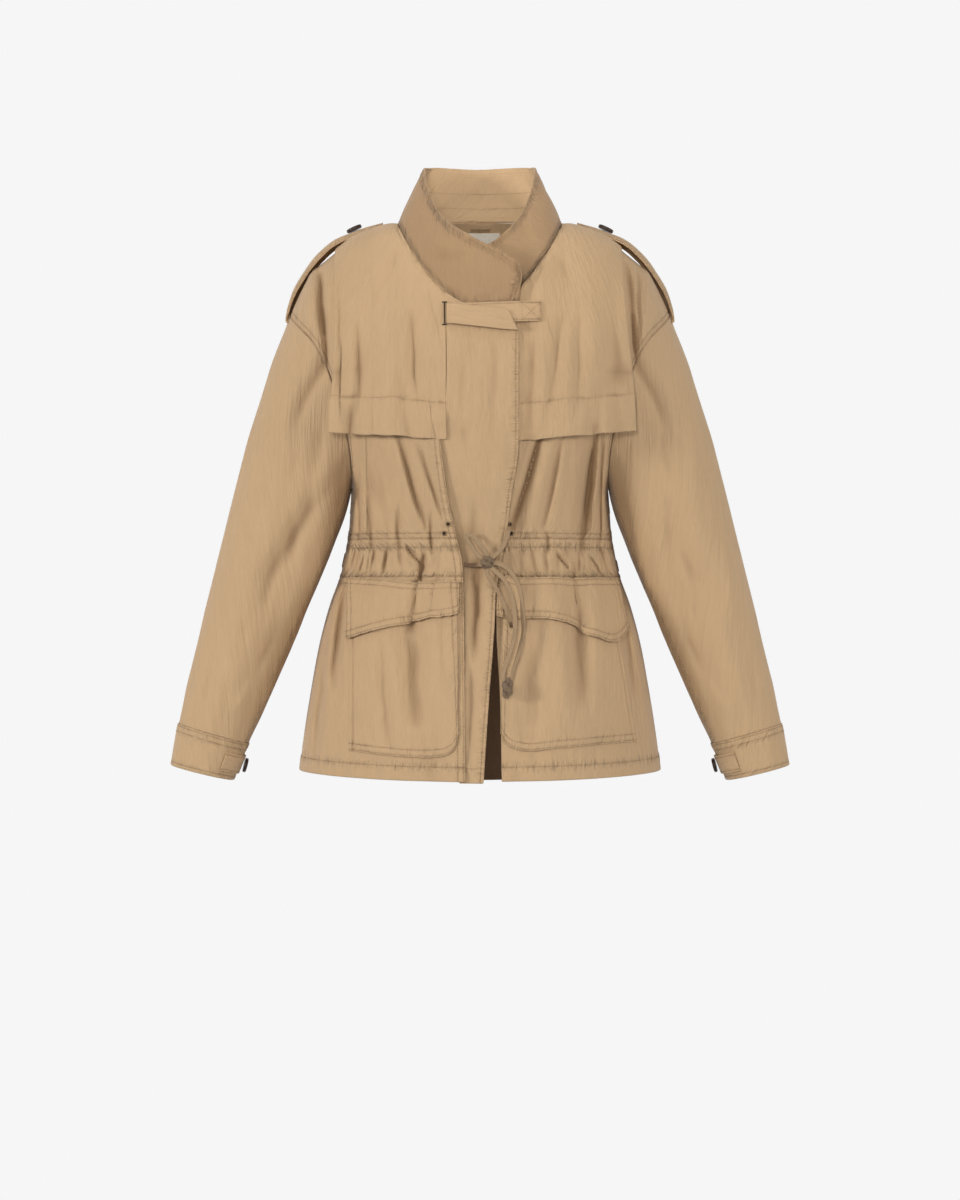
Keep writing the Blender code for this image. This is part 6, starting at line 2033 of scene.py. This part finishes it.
class JacketLook(PropertyGroup):
    """Sizes and colours of the finished look."""
    cloth_colour: FloatVectorProperty(
        name="Cloth colour", description="Colour of the tan cotton", subtype="COLOR", size=3,
        default=(0.47, 0.312, 0.17), min=0.0, max=1.0)
    button_colour: FloatVectorProperty(
        name="Button colour", description="Colour of the buttons", subtype="COLOR", size=3,
        default=(0.035, 0.02, 0.013), min=0.0, max=1.0)
    pitch: FloatProperty(
        name="Mesh pitch", description="Distance between the points of the cloth", default=0.0028,
        min=0.002, max=0.02, unit="LENGTH", precision=4)
    pucker: FloatProperty(
        name="Pucker", description="How strongly the cloth puckers beside its stitching", default=1.0,
        min=0.0, max=3.0)
    wrinkle: FloatProperty(
        name="Wrinkles", description="How strongly the cloth is wrinkled", default=1.0, min=0.0, max=3.0)
    stitch_pitch: FloatProperty(
        name="Stitch pitch", description="Distance from stitch to stitch", default=0.0034,
        min=0.002, max=0.01, unit="LENGTH", precision=4)
    stitch_length: FloatProperty(
        name="Stitch length", description="Length of one stitch", default=0.0026,
        min=0.001, max=0.01, unit="LENGTH", precision=4)
    stitch_width: FloatProperty(
        name="Stitch width", description="Width of the thread", default=0.0007,
        min=0.0002, max=0.002, unit="LENGTH", precision=4)
    tape_width: FloatProperty(
        name="Tape width", description="Width of the drawstring tape", default=0.0052,
        min=0.003, max=0.02, unit="LENGTH", precision=4)
    tape_thick: FloatProperty(
        name="Tape thickness", description="Thickness of the drawstring tape", default=0.0022,
        min=0.001, max=0.01, unit="LENGTH", precision=4)
    sky: FloatProperty(name="Room light", description="Strength of the even light", default=0.215, min=0.0)
    key: FloatProperty(
        name="Key light", description="Strength of the main light", default=92.0, min=0.0, unit="POWER")
    fill: FloatProperty(
        name="Fill light", description="Strength of the second light", default=70.0, min=0.0, unit="POWER")
    front: FloatProperty(
        name="Front light", description="Strength of the light from above the camera", default=71.0,
        min=0.0, unit="POWER")
    collar: FloatProperty(
        name="Collar light", description="Strength of the narrow light into the collar", default=0.14,
        min=0.0, unit="POWER")
    back: FloatProperty(
        name="Backdrop light", description="Strength of the light on the backdrop", default=40.0, min=0.0,
        unit="POWER")
    floor_glow: FloatProperty(
        name="Reflector glow", description="Strength of the pale reflector behind", default=0.665,
        min=0.0, max=1.0)
    wall: FloatProperty(
        name="Wall", description="Brightness of the pale wall that the camera sees", default=0.922, min=0.0,
        max=1.0)


def look():
    return bpy.context.scene.jacket_look


class JACKET_OT_stage(Operator):
    """Build the camera, the pale floor and the soft lights"""
    bl_idname = "jacket.stage"
    bl_label = "Stage"

    def execute(self, context):
        build_camera()
        build_studio()
        build_lights()
        return {"FINISHED"}


class JACKET_OT_materials(Operator):
    """Make the materials of the jacket"""
    bl_idname = "jacket.materials"
    bl_label = "Materials"

    def execute(self, context):
        build_materials()
        return {"FINISHED"}


class JACKET_OT_drawstring(Operator):
    """Build the tapes of the drawstring and their knots"""
    bl_idname = "jacket.drawstring"
    bl_label = "Drawstring"

    def execute(self, context):
        build_drawstring()
        return {"FINISHED"}


class JACKET_OT_upper(Operator):
    """Build the fronts and backs above the waist"""
    bl_idname = "jacket.upper"
    bl_label = "Fronts and backs"

    def execute(self, context):
        build_upper()
        return {"FINISHED"}


class JACKET_OT_waist(Operator):
    """Build the gathered casings of the waist"""
    bl_idname = "jacket.waist"
    bl_label = "Waist"

    def execute(self, context):
        build_waist()
        return {"FINISHED"}


class JACKET_OT_skirts(Operator):
    """Build the skirts below the waist"""
    bl_idname = "jacket.skirts"
    bl_label = "Skirts"

    def execute(self, context):
        build_skirts()
        return {"FINISHED"}


class JACKET_OT_placket(Operator):
    """Build the placket down the centre front"""
    bl_idname = "jacket.placket"
    bl_label = "Placket"

    def execute(self, context):
        build_placket()
        return {"FINISHED"}


class JACKET_OT_flaps(Operator):
    """Build the two storm flaps"""
    bl_idname = "jacket.flaps"
    bl_label = "Storm flaps"

    def execute(self, context):
        build_flaps()
        return {"FINISHED"}


class JACKET_OT_collar(Operator):
    """Build the funnel collar"""
    bl_idname = "jacket.collar"
    bl_label = "Collar"

    def execute(self, context):
        build_collar()
        return {"FINISHED"}


class JACKET_OT_sleeves(Operator):
    """Build the sleeves, cuffs and cuff tabs"""
    bl_idname = "jacket.sleeves"
    bl_label = "Sleeves"

    def execute(self, context):
        build_sleeves()
        build_tabs()
        return {"FINISHED"}


class JACKET_OT_pockets(Operator):
    """Build the patch pockets and their flaps"""
    bl_idname = "jacket.pockets"
    bl_label = "Pockets"

    def execute(self, context):
        build_pockets()
        return {"FINISHED"}


class JACKET_OT_straps(Operator):
    """Build the epaulettes and the throat latch"""
    bl_idname = "jacket.straps"
    bl_label = "Straps"

    def execute(self, context):
        build_epaulettes()
        build_latch()
        return {"FINISHED"}


class JACKET_OT_trims(Operator):
    """Build the buttons and eyelets and finish the small trims"""
    bl_idname = "jacket.trims"
    bl_label = "Trims"

    def execute(self, context):
        build_buttons()
        build_eyelets()
        build_trim()
        return {"FINISHED"}


class JACKET_OT_stitching(Operator):
    """Set the stitches along every seam line"""
    bl_idname = "jacket.stitching"
    bl_label = "Stitching"

    def execute(self, context):
        build_stitching()
        return {"FINISHED"}


ORDER = (
    "stage", "materials", "drawstring", "upper", "waist", "skirts", "placket", "flaps", "collar", "sleeves",
    "pockets", "straps", "trims", "stitching",
)


class JACKET_PT_panel(Panel):
    """Lists the steps that build the jacket"""
    bl_idname = "JACKET_PT_panel"
    bl_label = "Trench jacket"
    bl_space_type = "VIEW_3D"
    bl_region_type = "UI"
    bl_category = "Jacket"

    def draw(self, context):
        for name in JacketLook.__annotations__:
            self.layout.prop(context.scene.jacket_look, name)
        for step in ORDER:
            self.layout.operator("jacket." + step)


CLASSES = (
    JacketLook, JACKET_OT_stage, JACKET_OT_materials, JACKET_OT_drawstring, JACKET_OT_upper,
    JACKET_OT_waist, JACKET_OT_skirts, JACKET_OT_placket, JACKET_OT_flaps, JACKET_OT_collar,
    JACKET_OT_sleeves, JACKET_OT_pockets, JACKET_OT_straps, JACKET_OT_trims, JACKET_OT_stitching,
    JACKET_PT_panel,
)


def register():
    for item in CLASSES:
        bpy.utils.register_class(item)
    bpy.types.Scene.jacket_look = PointerProperty(type=JacketLook)


def unregister():
    del bpy.types.Scene.jacket_look
    for item in reversed(CLASSES):
        bpy.utils.unregister_class(item)


def main():
    register()
    for step in ORDER:
        getattr(bpy.ops.jacket, step)()


if __name__ == "__main__":
    main()
